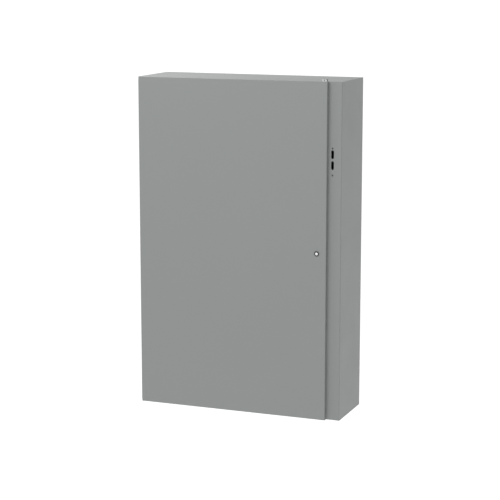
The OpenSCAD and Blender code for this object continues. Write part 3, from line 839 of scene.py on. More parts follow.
@dataclass
class Studio:
    """Pale floor, soft light and the camera.

    Attributes:
        camera_place: Where the camera stands.
        camera_turn: How far it is turned to the left, in degrees.
        camera_tilt: How far it looks down, in degrees.
        lens: Focal length in millimetres on a 36 mm sensor.
        floor_drop: How far below the cabinet the floor lies.
        floor_glow: The floor's own faint light, which keeps it as pale as the surround.
        falloff: How the surround's light changes to the right, to the back and upward.
        surround_level: The surround's light straight ahead.
        soft_lights: Name, place, aim, side length and power of each light.
    """

    camera_place: Point = (2.670, -6.968, 1.297)
    camera_turn: float = 21.42
    camera_tilt: float = 10.32
    lens: float = 116.0
    floor_drop: float = 0.9
    floor_glow: float = 0.4
    falloff: Point = (-0.38, 0.0, -0.3)
    surround_level: float = 0.95
    soft_lights: tuple[tuple[str, Point, Point, float, float], ...] = (
        ("overhead_left", (-1.2, 0.1, 2.2), (-0.6, -0.15, 0.76), 0.7, 18.0),
        ("upper_front", (-0.5, -2.2, 2.1), (0.2, -0.3, 0.5), 1.2, 14.0),
    )

    def build(self) -> None:
        """Builds the studio."""
        self.camera()
        self.floor()
        self.lights()
        bpy.context.scene.view_settings.view_transform = "Standard"

    def camera(self) -> None:
        """Places the camera."""
        data = bpy.data.cameras.new("camera")
        data.lens, data.sensor_width = self.lens, 36.0
        data.clip_start, data.clip_end = 0.05, 100.0
        obj = bpy.data.objects.new("camera", data)
        obj.location = self.camera_place
        obj.rotation_euler = (math.radians(90 - self.camera_tilt), 0, math.radians(self.camera_turn))
        bpy.context.collection.objects.link(obj)
        bpy.context.scene.camera = obj

    def floor(self) -> None:
        """Lays a wide pale floor below the cabinet."""
        bpy.ops.object.select_all(action="DESELECT")
        level = CAD_BOUNDS[0][2] - self.floor_drop
        bpy.ops.mesh.primitive_plane_add(size=60, location=(0, 0, level))
        floor = bpy.context.active_object
        floor.name = "studio_floor"
        bpy.ops.object.transform_apply(location=True, rotation=True, scale=True)
        graph = Graph.material("studio_floor")
        graph.shader.inputs["Base Color"].default_value = (0.9, 0.9, 0.9, 1.0)
        graph.shader.inputs["Roughness"].default_value = 1.0
        graph.shader.inputs["Specular IOR Level"].default_value = 0.0
        graph.shader.inputs["Emission Color"].default_value = (1.0, 1.0, 1.0, 1.0)
        graph.shader.inputs["Emission Strength"].default_value = self.floor_glow
        floor.data.materials.append(graph.owner)

    def light(self, name: str, place: Point, aim: Point, size: float, power: float) -> None:
        """Hangs one square soft light.

        Args:
            name: The light's name.
            place: Where it hangs.
            aim: The point that it faces.
            size: Its side length.
            power: Its power in watts.
        """
        data = bpy.data.lights.new(name, "AREA")
        data.shape, data.size, data.energy = "SQUARE", size, power
        obj = bpy.data.objects.new(name, data)
        obj.location = place
        obj.rotation_euler = (Vector(aim) - Vector(place)).to_track_quat("-Z", "Y").to_euler()
        bpy.context.collection.objects.link(obj)

    def lights(self) -> None:
        """Sets the white surround and the lights above."""
        graph = Graph(bpy.data.worlds.new("surround"), "Background")
        way = graph.add("ShaderNodeTexCoord", output="Generated")
        slope = graph.add("ShaderNodeVectorMath", {"operation": "DOT_PRODUCT"},
                          {0: way, 1: self.falloff}, "Value")
        seen = graph.add("ShaderNodeLightPath", output="Is Camera Ray")
        graph.feed(graph.shader.inputs["Color"], (1.0, 1.0, 1.0, 1.0))
        graph.feed(graph.shader.inputs["Strength"], (slope + self.surround_level).math("MAXIMUM", seen))
        bpy.context.scene.world = graph.owner
        for row in self.soft_lights:
            self.light(*row)


# ---- Cabinet -------------------------------------------------------------------------------


@dataclass
class Cabinet:
    """The sheet-steel body, its sub-panel and the fixed hinge leaf.

    Attributes:
        edge: Width of the broken sheet edges.
        rivet_pitch: Distance between the rivets of the hinge leaf.
        rivets: How many rivets it has.
        leaf_thickness: Thickness of the hinge leaf.
        stud_inset: How far the ground stud stands in from the right wall.
        stud_rise: How far it stands above the foot of the sub-panel.
    """

    edge: float = 0.35 * MM
    rivet_pitch: float = 60 * MM
    rivets: int = 24
    leaf_thickness: float = 1.6 * MM
    stud_inset: float = 48 * MM
    stud_rise: float = 30 * MM

    def build(self) -> None:
        """Dresses the body and adds its small pieces."""
        soften("body_shell", GREY_PAINT, self.edge)
        soften("sub_panel", WHITE_PAINT, self.edge)
        soften("body_hinge_leaf", HINGE_STEEL, 0.2 * MM, 1)
        soften("panel_fasteners", ZINC, 0.3 * MM, 1)
        dress_node("hinge_pin", ZINC)
        self.leaf_rivets()
        self.ground_stud()

    def leaf_rivets(self) -> None:
        """Rivets the fixed hinge leaf to the side of the body."""
        low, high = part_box("body_hinge_leaf")
        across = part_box("body_shell")[0].x - self.leaf_thickness
        middle = high.y - 10 * MM
        bottom = low.z + 30 * MM
        rivet = Piece.turned("body_hinge_rivets", (across, middle, bottom),
                             (across - 1.4 * MM, middle, bottom), 3.2 * MM, 16)
        rivet.facing((-1, 0, 0)).inset(1.0 * MM, 0.5 * MM).rounded(0.5 * MM, 2)
        rivet.repeat([(0, 0, k * self.rivet_pitch) for k in range(1, self.rivets)]).done(HINGE_STEEL)

    def ground_stud(self) -> None:
        """Adds the body's ground stud with its nut, low on the right."""
        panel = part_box("sub_panel")
        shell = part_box("body_shell")
        spot = Vector((shell[1].x - self.stud_inset, shell[1].y - 2 * MM, panel[0].z + self.stud_rise))
        stud = Piece.turned("ground_stud", spot, spot + Vector((0, -26 * MM, 0)), 3.9 * MM, 20)
        stud.rounded(0.6 * MM, 1).done(COPPER)
        nut = Piece.turned("ground_stud_nut", spot + Vector((0, -9 * MM, 0)),
                           spot + Vector((0, -16 * MM, 0)), 7.5 * MM, 6)
        nut.facing((0, -1, 0)).inset(1.2 * MM, 0.4 * MM).rounded(0.4 * MM, 1).done(ZINC)


@dataclass
class Door:
    """The door with its seal, stiffeners, pocket and moving hinge leaf.

    Attributes:
        edge: Width of the broken sheet edges.
        weld_pitch: Distance between the spot welds of the stiffeners.
        welds: How many spot welds each flange has.
        flange_gap: Distance between the two rows of welds on one stiffener.
    """

    edge: float = 0.35 * MM
    weld_pitch: float = 150 * MM
    welds: int = 9
    flange_gap: float = 48 * MM

    def build(self) -> None:
        """Dresses the door and adds its small pieces."""
        soften("door_panel", GREY_PAINT, self.edge)
        soften("door_hinge_leaf", HINGE_STEEL, 0.2 * MM, 1)
        soften("door_gasket", RUBBER, 3.0 * MM, 4)
        soften("door_stiffeners", GREY_PAINT, 0.5 * MM)
        soften("data_pocket", GREY_MOULDING, 0.6 * MM)
        soften("rod_guides", BLACK_MOULDING, 0.5 * MM)
        soften("padlock_tab", ZINC, 0.3 * MM)
        soften("latch_nut", ZINC, 0.4 * MM, 1)
        self.spot_welds()

    def spot_welds(self) -> None:
        """Marks the spot welds on the stiffeners' flanges."""
        low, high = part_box("door_stiffeners")
        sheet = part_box("data_pocket")[0].y
        first = Vector((low.x + 6 * MM, sheet + 2.0 * MM, low.z + 40 * MM))
        weld = Piece.turned("stiffener_spot_welds", first, first + Vector((0, 0.35 * MM, 0)), 3.6 * MM, 16)
        weld.facing((0, 1, 0)).inset(0.8 * MM, 0.0).inset(0.6 * MM, -0.25 * MM)
        spread = high.x - low.x - 60 * MM
        rows = (0, self.flange_gap, spread, spread + self.flange_gap)
        moves = [(x, 0, k * self.weld_pitch) for x in rows for k in range(self.welds)]
        weld.repeat(moves[1:]).done(GREY_PAINT, Body.DOOR)


@dataclass
class Latch:
    """The quarter-turn latch, its pinion, cam and two rods.

    Attributes:
        edge: Width of the broken edges.
        insert_slack: How far the insert is drawn in, to turn freely in its housing.
    """

    edge: float = 0.3 * MM
    insert_slack: float = 0.1 * MM

    def build(self) -> None:
        """Dresses the latch."""
        soften("latch_housing", BLACK_MOULDING, 0.5 * MM)
        soften("latch_insert", BRIGHT, self.edge, slack=self.insert_slack)
        soften("latch_pinion", ZINC, 0.12 * MM, 1)
        soften("latch_cam", ZINC, self.edge)
        soften("upper_rod", ZINC, 0.25 * MM, 1)
        soften("lower_rod", ZINC, 0.25 * MM, 1)


# ---- Transfer switch unit ------------------------------------------------------------------


@dataclass
class TransferUnit:
    """The double-throw switch with its drive.

    Attributes:
        edge: Width of the broken sheet edges.
        poles: How many poles it has.
        chute_width: Width of one arc chute.
        chute_screw_inset: How far the chute screws stand in from the chute's sides.
        motor_radius: Radius of the motor's can.
        drum_radius: Radius of the position indicator's drum.
        flag_angle: How far the drum's coloured fields stand above and below its front, in degrees.
    """

    edge: float = 0.4 * MM
    poles: int = 3
    chute_width: float = 76 * MM
    chute_screw_inset: float = 9 * MM
    motor_radius: float = 31 * MM
    drum_radius: float = 30 * MM
    flag_angle: float = 22.0

    def build(self) -> None:
        """Dresses the switch and adds its fasteners and drive details."""
        soften("switch_mounting_plate", ZINC, self.edge)
        soften("switch_base", RED_MOULDING, 0.8 * MM)
        soften("side_plates", ZINC, self.edge)
        soften("normal_contacts", COPPER, 0.5 * MM)
        soften("emergency_contacts", COPPER, 0.5 * MM)
        soften("load_contacts", COPPER, 0.5 * MM)
        soften("arc_chutes", CHUTE_BOARD, 0.6 * MM)
        soften("pole_barriers", BLACK_MOULDING, 0.5 * MM)
        soften("cable_lugs", LUG_METAL, 0.6 * MM)
        soften("lug_screws", ZINC, 0.4 * MM, 1)
        soften("gearbox", CASTING, 1.0 * MM)
        soften("drive_motor", MOTOR_ENAMEL, 1.2 * MM)
        soften("auxiliary_switches", BLACK_MOULDING, 0.6 * MM)
        soften("moving_contacts", COPPER, 0.5 * MM)
        soften("position_indicator", INDICATOR, 0.6 * MM)
        dress_node("shaft_bushes", BRONZE)
        dress_node("arc_plates", ZINC)
        soften("transfer_shaft", ZINC, 0.6 * MM)
        soften("insulating_hubs", BLACK_MOULDING, 0.4 * MM)
        soften("sector_gear", GEAR_STEEL, 0.2 * MM, 1)
        soften("drive_pinion", GEAR_STEEL, 0.2 * MM, 1)
        self.chute_screws()
        self.gearbox_cover()
        self.motor_details()
        self.shaft_clips()
        self.indicator_flags()

    def chute_screws(self) -> None:
        """Screws in the front corners of the arc chutes."""
        low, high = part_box("arc_chutes")
        pitch = (high.x - low.x - self.chute_width) / (self.poles - 1)
        inset = self.chute_screw_inset
        head = screw("chute_screws", (low.x + inset, low.y, high.z - inset), 3.6 * MM, 2.2 * MM)
        moves = [(k * pitch + x, 0, z) for k in range(self.poles)
                 for x in (0, self.chute_width - 2 * inset) for z in (0, low.z - high.z + 2 * inset)]
        head.repeat(moves[1:]).done(ZINC)

    def gearbox_cover(self) -> None:
        """Adds the gearbox's front cover and its screws."""
        low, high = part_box("gearbox")
        side = high.x - low.x
        middle = (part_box("drive_pinion")[0].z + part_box("drive_pinion")[1].z) / 2
        half, thickness, inset = 36 * MM, 3 * MM, 9.2 * MM
        cover = Piece.block("gearbox_cover", (low.x + 5 * MM, low.y - thickness, middle - half),
                            (high.x - 5 * MM, low.y, middle + half))
        cover.facing((0, -1, 0)).inset(8 * MM).inset(1.5 * MM, -1.2 * MM).rounded(0.8 * MM, 2).done(CASTING)
        seat = (low.x + inset, low.y - thickness, middle - 32 * MM)
        head = screw("gearbox_cover_screws", seat, 2.6 * MM, 1.8 * MM, slotted=False)
        moves = [(x, 0, z) for x in (0, side - 2 * inset) for z in (0, 32 * MM, 64 * MM)]
        head.repeat(moves[1:]).done(ZINC)

    def motor_details(self) -> None:
        """Adds cooling rings and a terminal box to the motor."""
        low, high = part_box("drive_motor")
        axis = Vector(((low.x + high.x) / 2, (low.y + high.y) / 2, 0))
        start = axis + Vector((0, 0, low.z + 14 * MM))
        ring = Piece.turned("motor_cooling_rings", start, start + Vector((0, 0, 3 * MM)),
                            self.motor_radius + 2.6 * MM, 48)
        ring.rounded(0.7 * MM, 1)
        ring.repeat([(0, 0, k * 8 * MM) for k in range(1, 9)]).done(MOTOR_ENAMEL)
        box_low = Vector((axis.x - 17 * MM, axis.y - self.motor_radius - 16 * MM, low.z + 26 * MM))
        box = Piece.block("motor_terminal_box", box_low, box_low + Vector((34 * MM, 20 * MM, 44 * MM)))
        box.facing((0, -1, 0)).inset(2.2 * MM, 0.0).inset(0.6 * MM, -0.6 * MM).rounded(1.2 * MM, 2)
        box.done(BLACK_MOULDING)
        head = screw("motor_box_screws", box_low + Vector((6 * MM, 0.6 * MM, 6 * MM)), 2.0 * MM, 1.6 * MM)
        head.repeat([(22 * MM, 0, 32 * MM), (22 * MM, 0, 0), (0, 0, 32 * MM)]).done(ZINC)

    def shaft_clips(self) -> None:
        """Fits the retaining rings beside the bearings."""
        low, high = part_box("shaft_bushes")
        axis = (low + high) / 2
        start = Vector((high.x + 0.4 * MM, axis.y, axis.z))
        ring = Piece.turned("shaft_retaining_rings", start, start + Vector((1.6 * MM, 0, 0)), 13.6 * MM, 32)
        ring.pick(lambda f: abs(f.normal.x) > 0.9).inset(1.2 * MM, 0.25 * MM).rounded(0.25 * MM, 1)
        ring.repeat([(low.x - high.x - 2.4 * MM, 0, 0)]).done(GEAR_STEEL, Body.TRANSFER)

    def indicator_flags(self) -> None:
        """Adds the drum's coloured fields: green above and red below its white middle."""
        low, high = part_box("position_indicator")
        axis = (low + high) / 2
        radius = self.drum_radius
        for name, finish, side in (("upper", GREEN_KEY, 1), ("lower", RED_KEY, -1)):
            angle = math.radians(side * self.flag_angle)
            spot = Vector((low.x + 3 * MM, axis.y - radius * math.cos(angle) + 0.9 * MM,
                           radius * math.sin(angle)))
            flag = Piece.block(f"indicator_{name}_field", spot + Vector((2 * MM, -1.1 * MM, -5 * MM)),
                               spot + Vector((14 * MM, 0.6 * MM, 5 * MM)))
            flag.facing((0, -1, 0)).inset(0.6 * MM, 0.25 * MM)
            flag.rest()
            pivot = Matrix.Translation(spot)
            turn = Matrix.Rotation(-angle, 4, "X")
            flag.obj.data.transform(pivot @ turn @ pivot.inverted())
            flag.rounded(0.25 * MM, 1).done(finish, Body.TRANSFER)


# ---- Controls ------------------------------------------------------------------------------


@dataclass
class Controls:
    """The controller, its keys and everything on the rails beside it.

    Attributes:
        edge: Width of the broken edges.
        wire_r: Radius of a control wire.
        colors: The colours that the wires take in turn.
        panel_stand: How far the sub-panel's face stands off the wall.
        first_layer: How far the nearest wires stand off the sub-panel.
        reach: How far the wires reach into the duct.
        terminal_pitch: Width of one terminal.
        terminal_count: How many terminals the row has.
        relay_pitch: Distance from relay to relay.
        relay_count: How many relays there are.
        under_terminals: Height of the wires that leave the terminals downward.
        over_terminals: Height of the wires that leave the terminals upward.
        under_relays: Height of the wires under the relays and the breaker.
        over_relays: Height of the wires over the relays and the breaker.
        under_controller: Height of the wires from the controller's plug.
        beside_transformer: Height at which the transformer's leads enter the duct.
        made: How many control wires have been laid.
    """

    edge: float = 0.5 * MM
    wire_r: float = 1.25 * MM
    colors: tuple[str, ...] = ("red", "black", "blue", "white")
    panel_stand: float = 28 * MM
    first_layer: float = 24 * MM
    reach: float = 6 * MM
    terminal_pitch: float = 8.2 * MM
    terminal_count: int = 18
    relay_pitch: float = 32 * MM
    relay_count: int = 3
    under_terminals: float = 10 * MM
    over_terminals: float = 106 * MM
    under_relays: float = 130 * MM
    over_relays: float = 250 * MM
    under_controller: float = 274 * MM
    beside_transformer: float = 610 * MM
    made: int = field(default=0, init=False)

    def build(self) -> None:
        """Dresses the controls and wires them to the duct."""
        soften("controller_case", GREY_MOULDING, 0.8 * MM)
        soften("display_window", DISPLAY, 0.3 * MM)
        soften("test_button", GREEN_KEY, 0.5 * MM)
        soften("menu_button", GREY_KEY, 0.5 * MM)
        soften("reset_button", RED_KEY, 0.5 * MM)
        soften("selector_knob", BLACK_MOULDING, 0.5 * MM)
        soften("transformer_core", LAMINATIONS, 0.4 * MM)
        soften("transformer_coil", WINDING, 3.0 * MM, 3)
        soften("control_breaker", BLACK_MOULDING, self.edge)
        soften("breaker_toggle", TOGGLE_WHITE, self.edge)
        soften("din_rails", ZINC, 0.25 * MM, 1)
        soften("relays", RELAY_COVER, 0.7 * MM)
        soften("terminal_blocks", TERMINAL_GREY, 0.3 * MM, 1)
        soften("wiring_duct", DUCT_GREY, 0.3 * MM, 1)
        self.harness()
        self.duct_cover()
        self.terminals()
        self.controller_front()
        self.status_lamps()
        self.controller_plug()
        self.selector_mark()
        self.relay_insides()
        self.breaker_screws()
        self.transformer_terminals()
        self.harness_ties()

    def duct_cover(self) -> None:
        """Snaps the cover on the wiring duct."""
        low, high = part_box("wiring_duct")
        cover = Piece.block("duct_cover", (low.x - 1.6 * MM, low.y - 1.8 * MM, low.z),
                            (high.x + 1.6 * MM, low.y - 0.05 * MM, high.z))
        middle = (low.x + high.x) / 2
        cover.facing((0, 1, 0)).inset(1.5 * MM)
        cover.pick(lambda f: f.normal.y > 0.9 and abs(f.calc_center_median().x - middle) > 9 * MM)
        cover.extrude((0, 5 * MM, 0)).rounded(0.4 * MM, 2).done(DUCT_GREY)

    def duct_end(self) -> float:
        """Returns the place across the cabinet where wires end, inside the duct."""
        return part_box("wiring_duct")[1].x - self.reach

    def layer(self, forward: float) -> float:
        """Returns the depth of a layer of wires, counted forward from the nearest one."""
        return -(self.panel_stand + self.first_layer + forward)

    def run(self, start: Vector, level: float, forward: float) -> None:
        """Lays one wire from a terminal to the duct.

        Args:
            start: Where the wire leaves its terminal.
            level: The height at which it runs across.
            forward: How far its layer stands forward of the nearest one.
        """
        layer, target = self.layer(forward), self.duct_end()
        turn = 7 * MM if level > start.z else -7 * MM
        points = [tuple(start), (start.x, start.y, start.z + turn * 0.6),
                  (start.x - 2 * MM, layer, level - turn * 0.15), (start.x - 9 * MM, layer, level),
                  ((start.x + target) / 2, layer, level), (target, layer, level)]
        color = self.colors[self.made % len(self.colors)]
        self.made += 1
        wire(f"control_wire_{self.made:02d}", points, self.wire_r, WIRE_COLORS[color])

    def terminals(self) -> None:
        """Adds screws, blank markers, end stops and wires to the terminal row."""
        low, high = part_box("terminal_blocks")
        pitch, count = self.terminal_pitch, self.terminal_count
        middle = (low.z + high.z) / 2
        seat = Vector((low.x + 4 * MM, low.y + 14.5 * MM, middle - 19 * MM))
        head = screw("terminal_screws", seat, 2.3 * MM, 3.2 * MM)
        head.repeat([(k * pitch, 0, z) for k in range(count) for z in (0, 38 * MM)][1:]).done(ZINC)
        tag = Piece.block("terminal_markers", (low.x + 0.9 * MM, low.y - 0.8 * MM, middle - 3 * MM),
                          (low.x + 7.1 * MM, low.y, middle + 3 * MM))
        tag.facing((0, -1, 0)).inset(0.7 * MM, -0.3 * MM).rounded(0.3 * MM, 1)
        tag.repeat([(k * pitch, 0, 0) for k in range(1, count)]).done(TOGGLE_WHITE)
        stop = Piece.block("rail_end_stops", (low.x - 9 * MM, low.y + 8 * MM, middle - 20 * MM),
                           (low.x - 0.5 * MM, high.y, middle + 20 * MM))
        stop.facing((0, -1, 0)).inset(2 * MM, 0.0).extrude((0, -5 * MM, 0), 0.8).rounded(0.6 * MM, 2)
        stop.repeat([(count * pitch + 9.2 * MM, 0, 0)]).done(TERMINAL_GREY)
        for k in range(count):
            forward = 1.85 * MM * k
            side = low.x + 4 * MM + k * pitch
            if k % 3 != 2:
                self.run(Vector((side, low.y + 12 * MM, low.z + 2 * MM)), self.under_terminals, forward)
            if k % 4 != 1:
                self.run(Vector((side, low.y + 12 * MM, high.z - 2 * MM)), self.over_terminals, forward)

    def controller_front(self) -> None:
        """Adds the display's bezel and the collars of the keys and the selector."""
        low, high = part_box("display_window")
        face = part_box("controller_case")[0].y
        bezel = Piece.block("display_bezel", (low.x - 6 * MM, face - 3.2 * MM, low.z - 6 * MM),
                            (high.x + 6 * MM, face, high.z + 6 * MM))
        bezel.windowed(6.4 * MM).rounded(0.7 * MM, 2).done(BLACK_MOULDING)
        gap = Vector((2.6 * MM, 0, 2.6 * MM))
        for name in ("test_button", "menu_button", "reset_button"):
            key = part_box(name)
            collar = Piece.block(f"{name}_collar", Vector((key[0].x, face - 1.1 * MM, key[0].z)) - gap,
                                 Vector((key[1].x, face, key[1].z)) + gap)
            collar.windowed(2.1 * MM).rounded(0.35 * MM, 2).done(BLACK_MOULDING)
        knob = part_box("selector_knob")
        middle = Vector(((knob[0].x + knob[1].x) / 2, face, (knob[0].z + knob[1].z) / 2))
        ring = Piece.turned("selector_collar", middle, middle + Vector((0, -1.6 * MM, 0)), 18 * MM, 48)
        ring.windowed(3.6 * MM).rounded(0.4 * MM, 2).done(ZINC)

    def status_lamps(self) -> None:
        """Adds the three lamps beside the display, each in its collar."""
        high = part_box("display_window")[1]
        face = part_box("controller_case")[0].y
        for k, finish in enumerate(LAMPS):
            spot = Vector((high.x + 26 * MM, face, high.z - (12 + 22 * k) * MM))
            front = spot + Vector((0, -2.4 * MM, 0))
            lamp = Piece.turned(f"status_lamp_{k + 1}", spot, front, 2.6 * MM, 20)
            lamp.facing((0, -1, 0)).inset(0.9 * MM, 0.6 * MM).rounded(0.4 * MM, 2).done(finish)
            ring = Piece.turned(f"lamp_collar_{k + 1}", spot, spot + Vector((0, -1.2 * MM, 0)), 4.2 * MM)
            ring.facing((0, -1, 0)).inset(0.8 * MM, -0.5 * MM).rounded(0.2 * MM, 1).done(BLACK_MOULDING)

    def controller_plug(self) -> None:
        """Adds the plug under the controller, with its wires."""
        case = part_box("controller_case")[0]
        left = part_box("display_window")[0].x
        plug_low = Vector((left, case.y + 22 * MM, case.z - 1 * MM))
        plug = Piece.block("controller_plug", plug_low, plug_low + Vector((84 * MM, 20 * MM, 13 * MM)))
        plug.facing((0, 0, -1)).inset(1.6 * MM, -1.0 * MM).rounded(0.5 * MM, 2).done(GREEN_KEY)
        for k in range(8):
            start = plug_low + Vector(((8 + 9.6 * k) * MM, 9 * MM, 1.2 * MM))
            self.run(start, self.under_controller, 3.6 * MM * k)

    def selector_mark(self) -> None:
        """Inlays the white pointer line on the selector knob."""
        low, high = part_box("selector_knob")
        middle = (low + high) / 2
        mark = Piece.block("selector_pointer", (middle.x - 0.9 * MM, low.y - 0.35 * MM, middle.z + 1 * MM),
                           (middle.x + 0.9 * MM, low.y + 0.3 * MM, middle.z + 11 * MM))
        mark.facing((0, -1, 0)).inset(0.25 * MM, 0.1 * MM).rounded(0.12 * MM, 1)
        mark.done(TOGGLE_WHITE, Body.SELECTOR)

    def relay_insides(self) -> None:
        """Shows a coil and an armature frame inside each clear relay."""
        low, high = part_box("relays")
        middle = (low.z + high.z) / 2
        start = Vector((low.x + 14 * MM, low.y + 12 * MM, middle))
        coil = Piece.turned("relay_coils", start, start + Vector((0, 30 * MM, 0)), 7 * MM, 28)
        steps = [self.relay_pitch * k for k in range(self.relay_count)]
        coil.rounded(0.5 * MM, 1).repeat([(x, 0, 0) for x in steps[1:]]).done(COIL_COPPER)
        end = Piece.turned("relay_bobbin_ends", start, start + Vector((0, 1.4 * MM, 0)), 8.6 * MM, 28)
        moves = [(x, y, 0) for x in steps for y in (0, 28 * MM)]
        end.rounded(0.4 * MM, 1).repeat(moves[1:]).done(BLACK_MOULDING)
        arm = Piece.block("relay_armatures", (low.x + 5 * MM, low.y + 5 * MM, middle - 12 * MM),
                          (low.x + 23 * MM, low.y + 8 * MM, middle + 12 * MM))
        arm.facing((0, -1, 0)).inset(3 * MM, -0.8 * MM).rounded(0.4 * MM, 1)
        arm.repeat([(x, 0, 0) for x in steps[1:]]).done(COPPER)
        base = Vector((low.x + 5 * MM, high.y - 24.5 * MM, low.z + 6 * MM))
        head = screw("relay_base_screws", base, 2.4 * MM, 1.8 * MM)
        moves = [(x + y, 0, z) for x in steps for y in (0, 9 * MM, 18 * MM) for z in (0, 68 * MM)]
        head.repeat(moves[1:]).done(ZINC)
        sides = [x + y for x in steps for y in (0, 18 * MM)]
        for k, side in enumerate(sides):
            start = Vector((low.x + 5 * MM + side, high.y - 26 * MM, low.z + 1 * MM))
            self.run(start, self.under_relays, 3.4 * MM * k)
            top = Vector((start.x, start.y, high.z - 1 * MM))
            self.run(top, self.over_relays, 3.4 * MM * k)

    def breaker_screws(self) -> None:
        """Adds the breaker's terminal screws and its wires."""
        low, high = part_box("control_breaker")
        seat = Vector((low.x + 9 * MM, low.y + 18 * MM, low.z + 9 * MM))
        head = screw("breaker_screws", seat, 3.2 * MM, 2.0 * MM)
        moves = [(x, 0, z) for x in (0, 18 * MM) for z in (0, high.z - low.z - 18 * MM)]
        head.repeat(moves[1:]).done(ZINC)
        for k in range(2):
            side = low.x + (9 + 18 * k) * MM
            ends = ((high.z - 2 * MM, self.over_relays), (low.z + 2 * MM, self.under_relays))
            for exit_z, level in ends:
                self.run(Vector((side, low.y + 26 * MM, exit_z)), level, (23 + 3.2 * k) * MM)

    def transformer_terminals(self) -> None:
        """Adds the transformer's terminal strip and leads."""
        low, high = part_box("transformer_coil")
        strip_low = Vector((low.x + 8 * MM, low.y - 9 * MM, high.z - 20 * MM))
        strip = Piece.block("transformer_strip", strip_low, strip_low + Vector((63 * MM, 9 * MM, 14 * MM)))
        strip.facing((0, -1, 0)).inset(1.2 * MM, -0.8 * MM).rounded(0.5 * MM, 1).done(BLACK_MOULDING)
        seat = strip_low + Vector((7 * MM, 0.8 * MM, 7 * MM))
        head = screw("transformer_screws", seat, 3.0 * MM, 1.8 * MM)
        head.repeat([(k * 12.2 * MM, 0, 0) for k in range(1, 5)]).done(ZINC)
        duct, level = self.duct_end(), self.beside_transformer
        for k, color in enumerate(self.colors):
            start = strip_low + Vector(((7 + 12.2 * k) * MM, 4 * MM, 0.5 * MM))
            layer = strip_low.y + (4 + 3 * k) * MM
            last = self.layer(16 * MM) + 3 * k * MM
            points = [tuple(start), (start.x - 1 * MM, start.y, start.z - 8 * MM),
                      (start.x - 10 * MM, layer, start.z - 16 * MM),
                      (low.x - 8 * MM, layer + 6 * MM, level + 1 * MM),
                      (duct + 12 * MM, last, level), (duct, last, level)]
            wire(f"transformer_lead_{k + 1}", points, self.wire_r, WIRE_COLORS[color])

    def harness(self) -> None:
        """Lays the three sleeved bundles, with round bends, and the leads at their ends.

        A point is in millimetres: to the right, forward of the sub-panel, and up.
        """
        routes = (
            ("auxiliary_bundle", 5.5, ((-390, 12, -300), (-160, 12, -300), (-134, 12, -296),
                                       (-123, 14, -283), (-122, 14, -255), (-122, 14, -100),
                                       (-122, 19, -74), (-122, 30, -58))),
            ("motor_bundle", 5.5, ((-390, 12, 505), (240, 12, 505), (277, 12, 501), (296, 15, 486),
                                   (300, 18, 462), (300, 38, 345), (300, 43, 316), (300, 66, 254))),
            ("controller_bundle", 4.8, ((-391, 34, 350), (-386, 34, 350), (-380, 34, 350))),
        )
        bundles = [self.lay(name, route, radius * MM, SLEEVE) for name, radius, route in routes]
        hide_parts("control_harness")
        for k, color in enumerate(self.colors):
            side = (k - 1.5) * 2.6
            lead = ((300 + side, 65, 257), (300 + side, 76, 250), (300 + 1.6 * side, 104, 236),
                    (300 + 2 * side, 113, 214), (300 + 2 * side, 113, 192))
            self.lay(f"motor_lead_{k + 1}", lead, self.wire_r, WIRE_COLORS[color])
            lead = ((-122 + side, 29, -60), (-122 + side, 36, -52), (-121 + 2.4 * side, 50, -44),
                    (-120 + 2.6 * side, 56, -30))
            self.lay(f"auxiliary_lead_{k + 1}", lead, self.wire_r, WIRE_COLORS[color])

    def lay(self, name: str, route: Sequence[Point], radius: float, finish: Finish) -> bpy.types.Object:
        """Lays a wire whose points are in millimetres, forward of the sub-panel.

        Args:
            name: The piece's name.
            route: The points that it passes through.
            radius: Its radius in metres.
            finish: Its insulation.

        Returns:
            The finished mesh.
        """
        points = [(x * MM, -self.panel_stand - forward * MM, z * MM) for x, forward, z in route]
        return wire(name, points, radius, finish)

    def harness_ties(self) -> None:
        """Ties the long sleeved bundle at even distances."""
        start = Vector((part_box("sub_panel")[0].x + 160 * MM, -40 * MM, 505 * MM))
        tie = Piece.turned("harness_ties", start, start + Vector((4 * MM, 0, 0)), 6.2 * MM)
        tie.pick(lambda f: abs(f.normal.x) > 0.9).inset(0.5 * MM, 0.0).rounded(0.4 * MM, 1)
        tie.repeat([(k * 130 * MM, 0, 0) for k in range(1, 4)]).done(TOGGLE_WHITE)


# ---- Neutral, ground and handle -------------------------------------------------------------


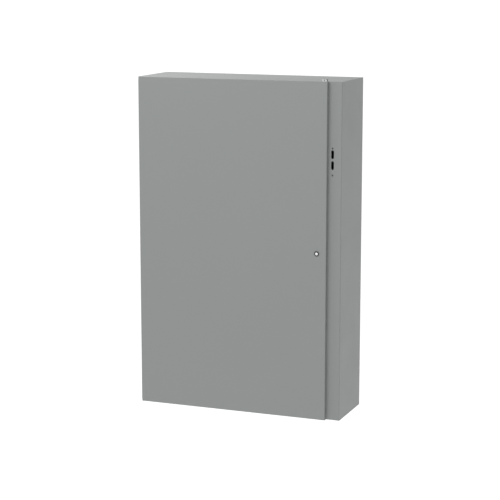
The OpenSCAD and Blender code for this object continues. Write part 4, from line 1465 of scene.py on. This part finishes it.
@dataclass
class Terminations:
    """Neutral and ground bars, and the stored manual handle.

    Attributes:
        edge: Width of the broken edges of the neutral bar.
        bolt_inset: How far the first bolt or screw stands in from the end of a bar.
        bolt_pitch: Distance between the neutral bar's bolts.
        wire_pitch: Distance between the ground bar's screws.
        wire_screws: How many screws the ground bar has.
        grip_pitch: Distance between the grip rings of the handle.
        cabinet: The cabinet, which says where its ground stud stands.
    """

    edge: float = 0.6 * MM
    bolt_inset: float = 45 * MM
    bolt_pitch: float = 100 * MM
    wire_pitch: float = 18 * MM
    wire_screws: int = 11
    grip_pitch: float = 11 * MM
    cabinet: Cabinet = field(default_factory=Cabinet)

    def build(self) -> None:
        """Dresses the bars and the handle, and adds their fasteners."""
        soften("neutral_bar", COPPER, self.edge)
        soften("neutral_insulators", RED_MOULDING, 1.2 * MM)
        soften("ground_bar", COPPER, 0.4 * MM)
        soften("manual_handle", RED_MOULDING, 1.0 * MM)
        soften("handle_clips", BLACK_MOULDING, 0.8 * MM)
        self.neutral_bolts()
        self.ground_screws()
        self.handle_grip()
        self.bonding_wire()

    def neutral_bolts(self) -> None:
        """Bolts the neutral bar to its insulators."""
        low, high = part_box("neutral_bar")
        middle = (low.z + high.z) / 2
        head = Vector((low.x + self.bolt_inset, low.y, middle))
        bolt = Piece.turned("neutral_bolts", head, head + Vector((0, -6 * MM, 0)), 8.4 * MM, 6)
        bolt.facing((0, -1, 0)).inset(1.6 * MM, 0.5 * MM)
        bolt.rounded(0.4 * MM, 1).repeat([(self.bolt_pitch, 0, 0)]).done(ZINC)

    def ground_screws(self) -> None:
        """Fits a slotted screw over each wire hole of the ground bar."""
        low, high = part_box("ground_bar")
        middle = (low.z + high.z) / 2
        head = screw("ground_screws", (low.x + self.bolt_inset, low.y, middle), 3.6 * MM, 3.0 * MM)
        head.repeat([(k * self.wire_pitch, 0, 0) for k in range(1, self.wire_screws)]).done(ZINC)

    def handle_grip(self) -> None:
        """Turns grip rings on the stored handle."""
        low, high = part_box("manual_handle")
        axis = (low + high) / 2
        start = Vector((low.x + 12 * MM, axis.y, axis.z))
        ring = Piece.turned("handle_grip_rings", start, start + Vector((4 * MM, 0, 0)), 14.2 * MM, 40)
        ring.rounded(1.2 * MM, 3)
        ring.repeat([(k * self.grip_pitch, 0, 0) for k in range(1, 9)]).done(RED_MOULDING)

    def bonding_wire(self) -> None:
        """Runs the green wire from the ground bar to the body's stud."""
        low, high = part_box("ground_bar")
        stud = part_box("body_shell")[1].x - self.cabinet.stud_inset
        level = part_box("sub_panel")[0].z + self.cabinet.stud_rise
        points = [(high.x - self.bolt_inset, low.y + 5 * MM, low.z + 2 * MM),
                  (high.x - 40 * MM, low.y + 2 * MM, low.z - 18 * MM),
                  (high.x + 20 * MM, low.y - 6 * MM, level + 6 * MM),
                  (stud - 14 * MM, low.y + 30 * MM, level),
                  (stud - 2 * MM, -8 * MM, level)]
        wire("bonding_wire", points, 2.4 * MM, WIRE_COLORS["green"])


def main() -> None:
    """Builds the studio and every sub-assembly, and reports each."""
    logging.basicConfig(level=logging.INFO, format="%(name)s: %(message)s")
    for assembly in (Studio(), Cabinet(), Door(), Latch(), TransferUnit(), Controls(), Terminations()):
        assembly.build()
        log.info("%s built", type(assembly).__name__)


if __name__ == "__main__":
    main()
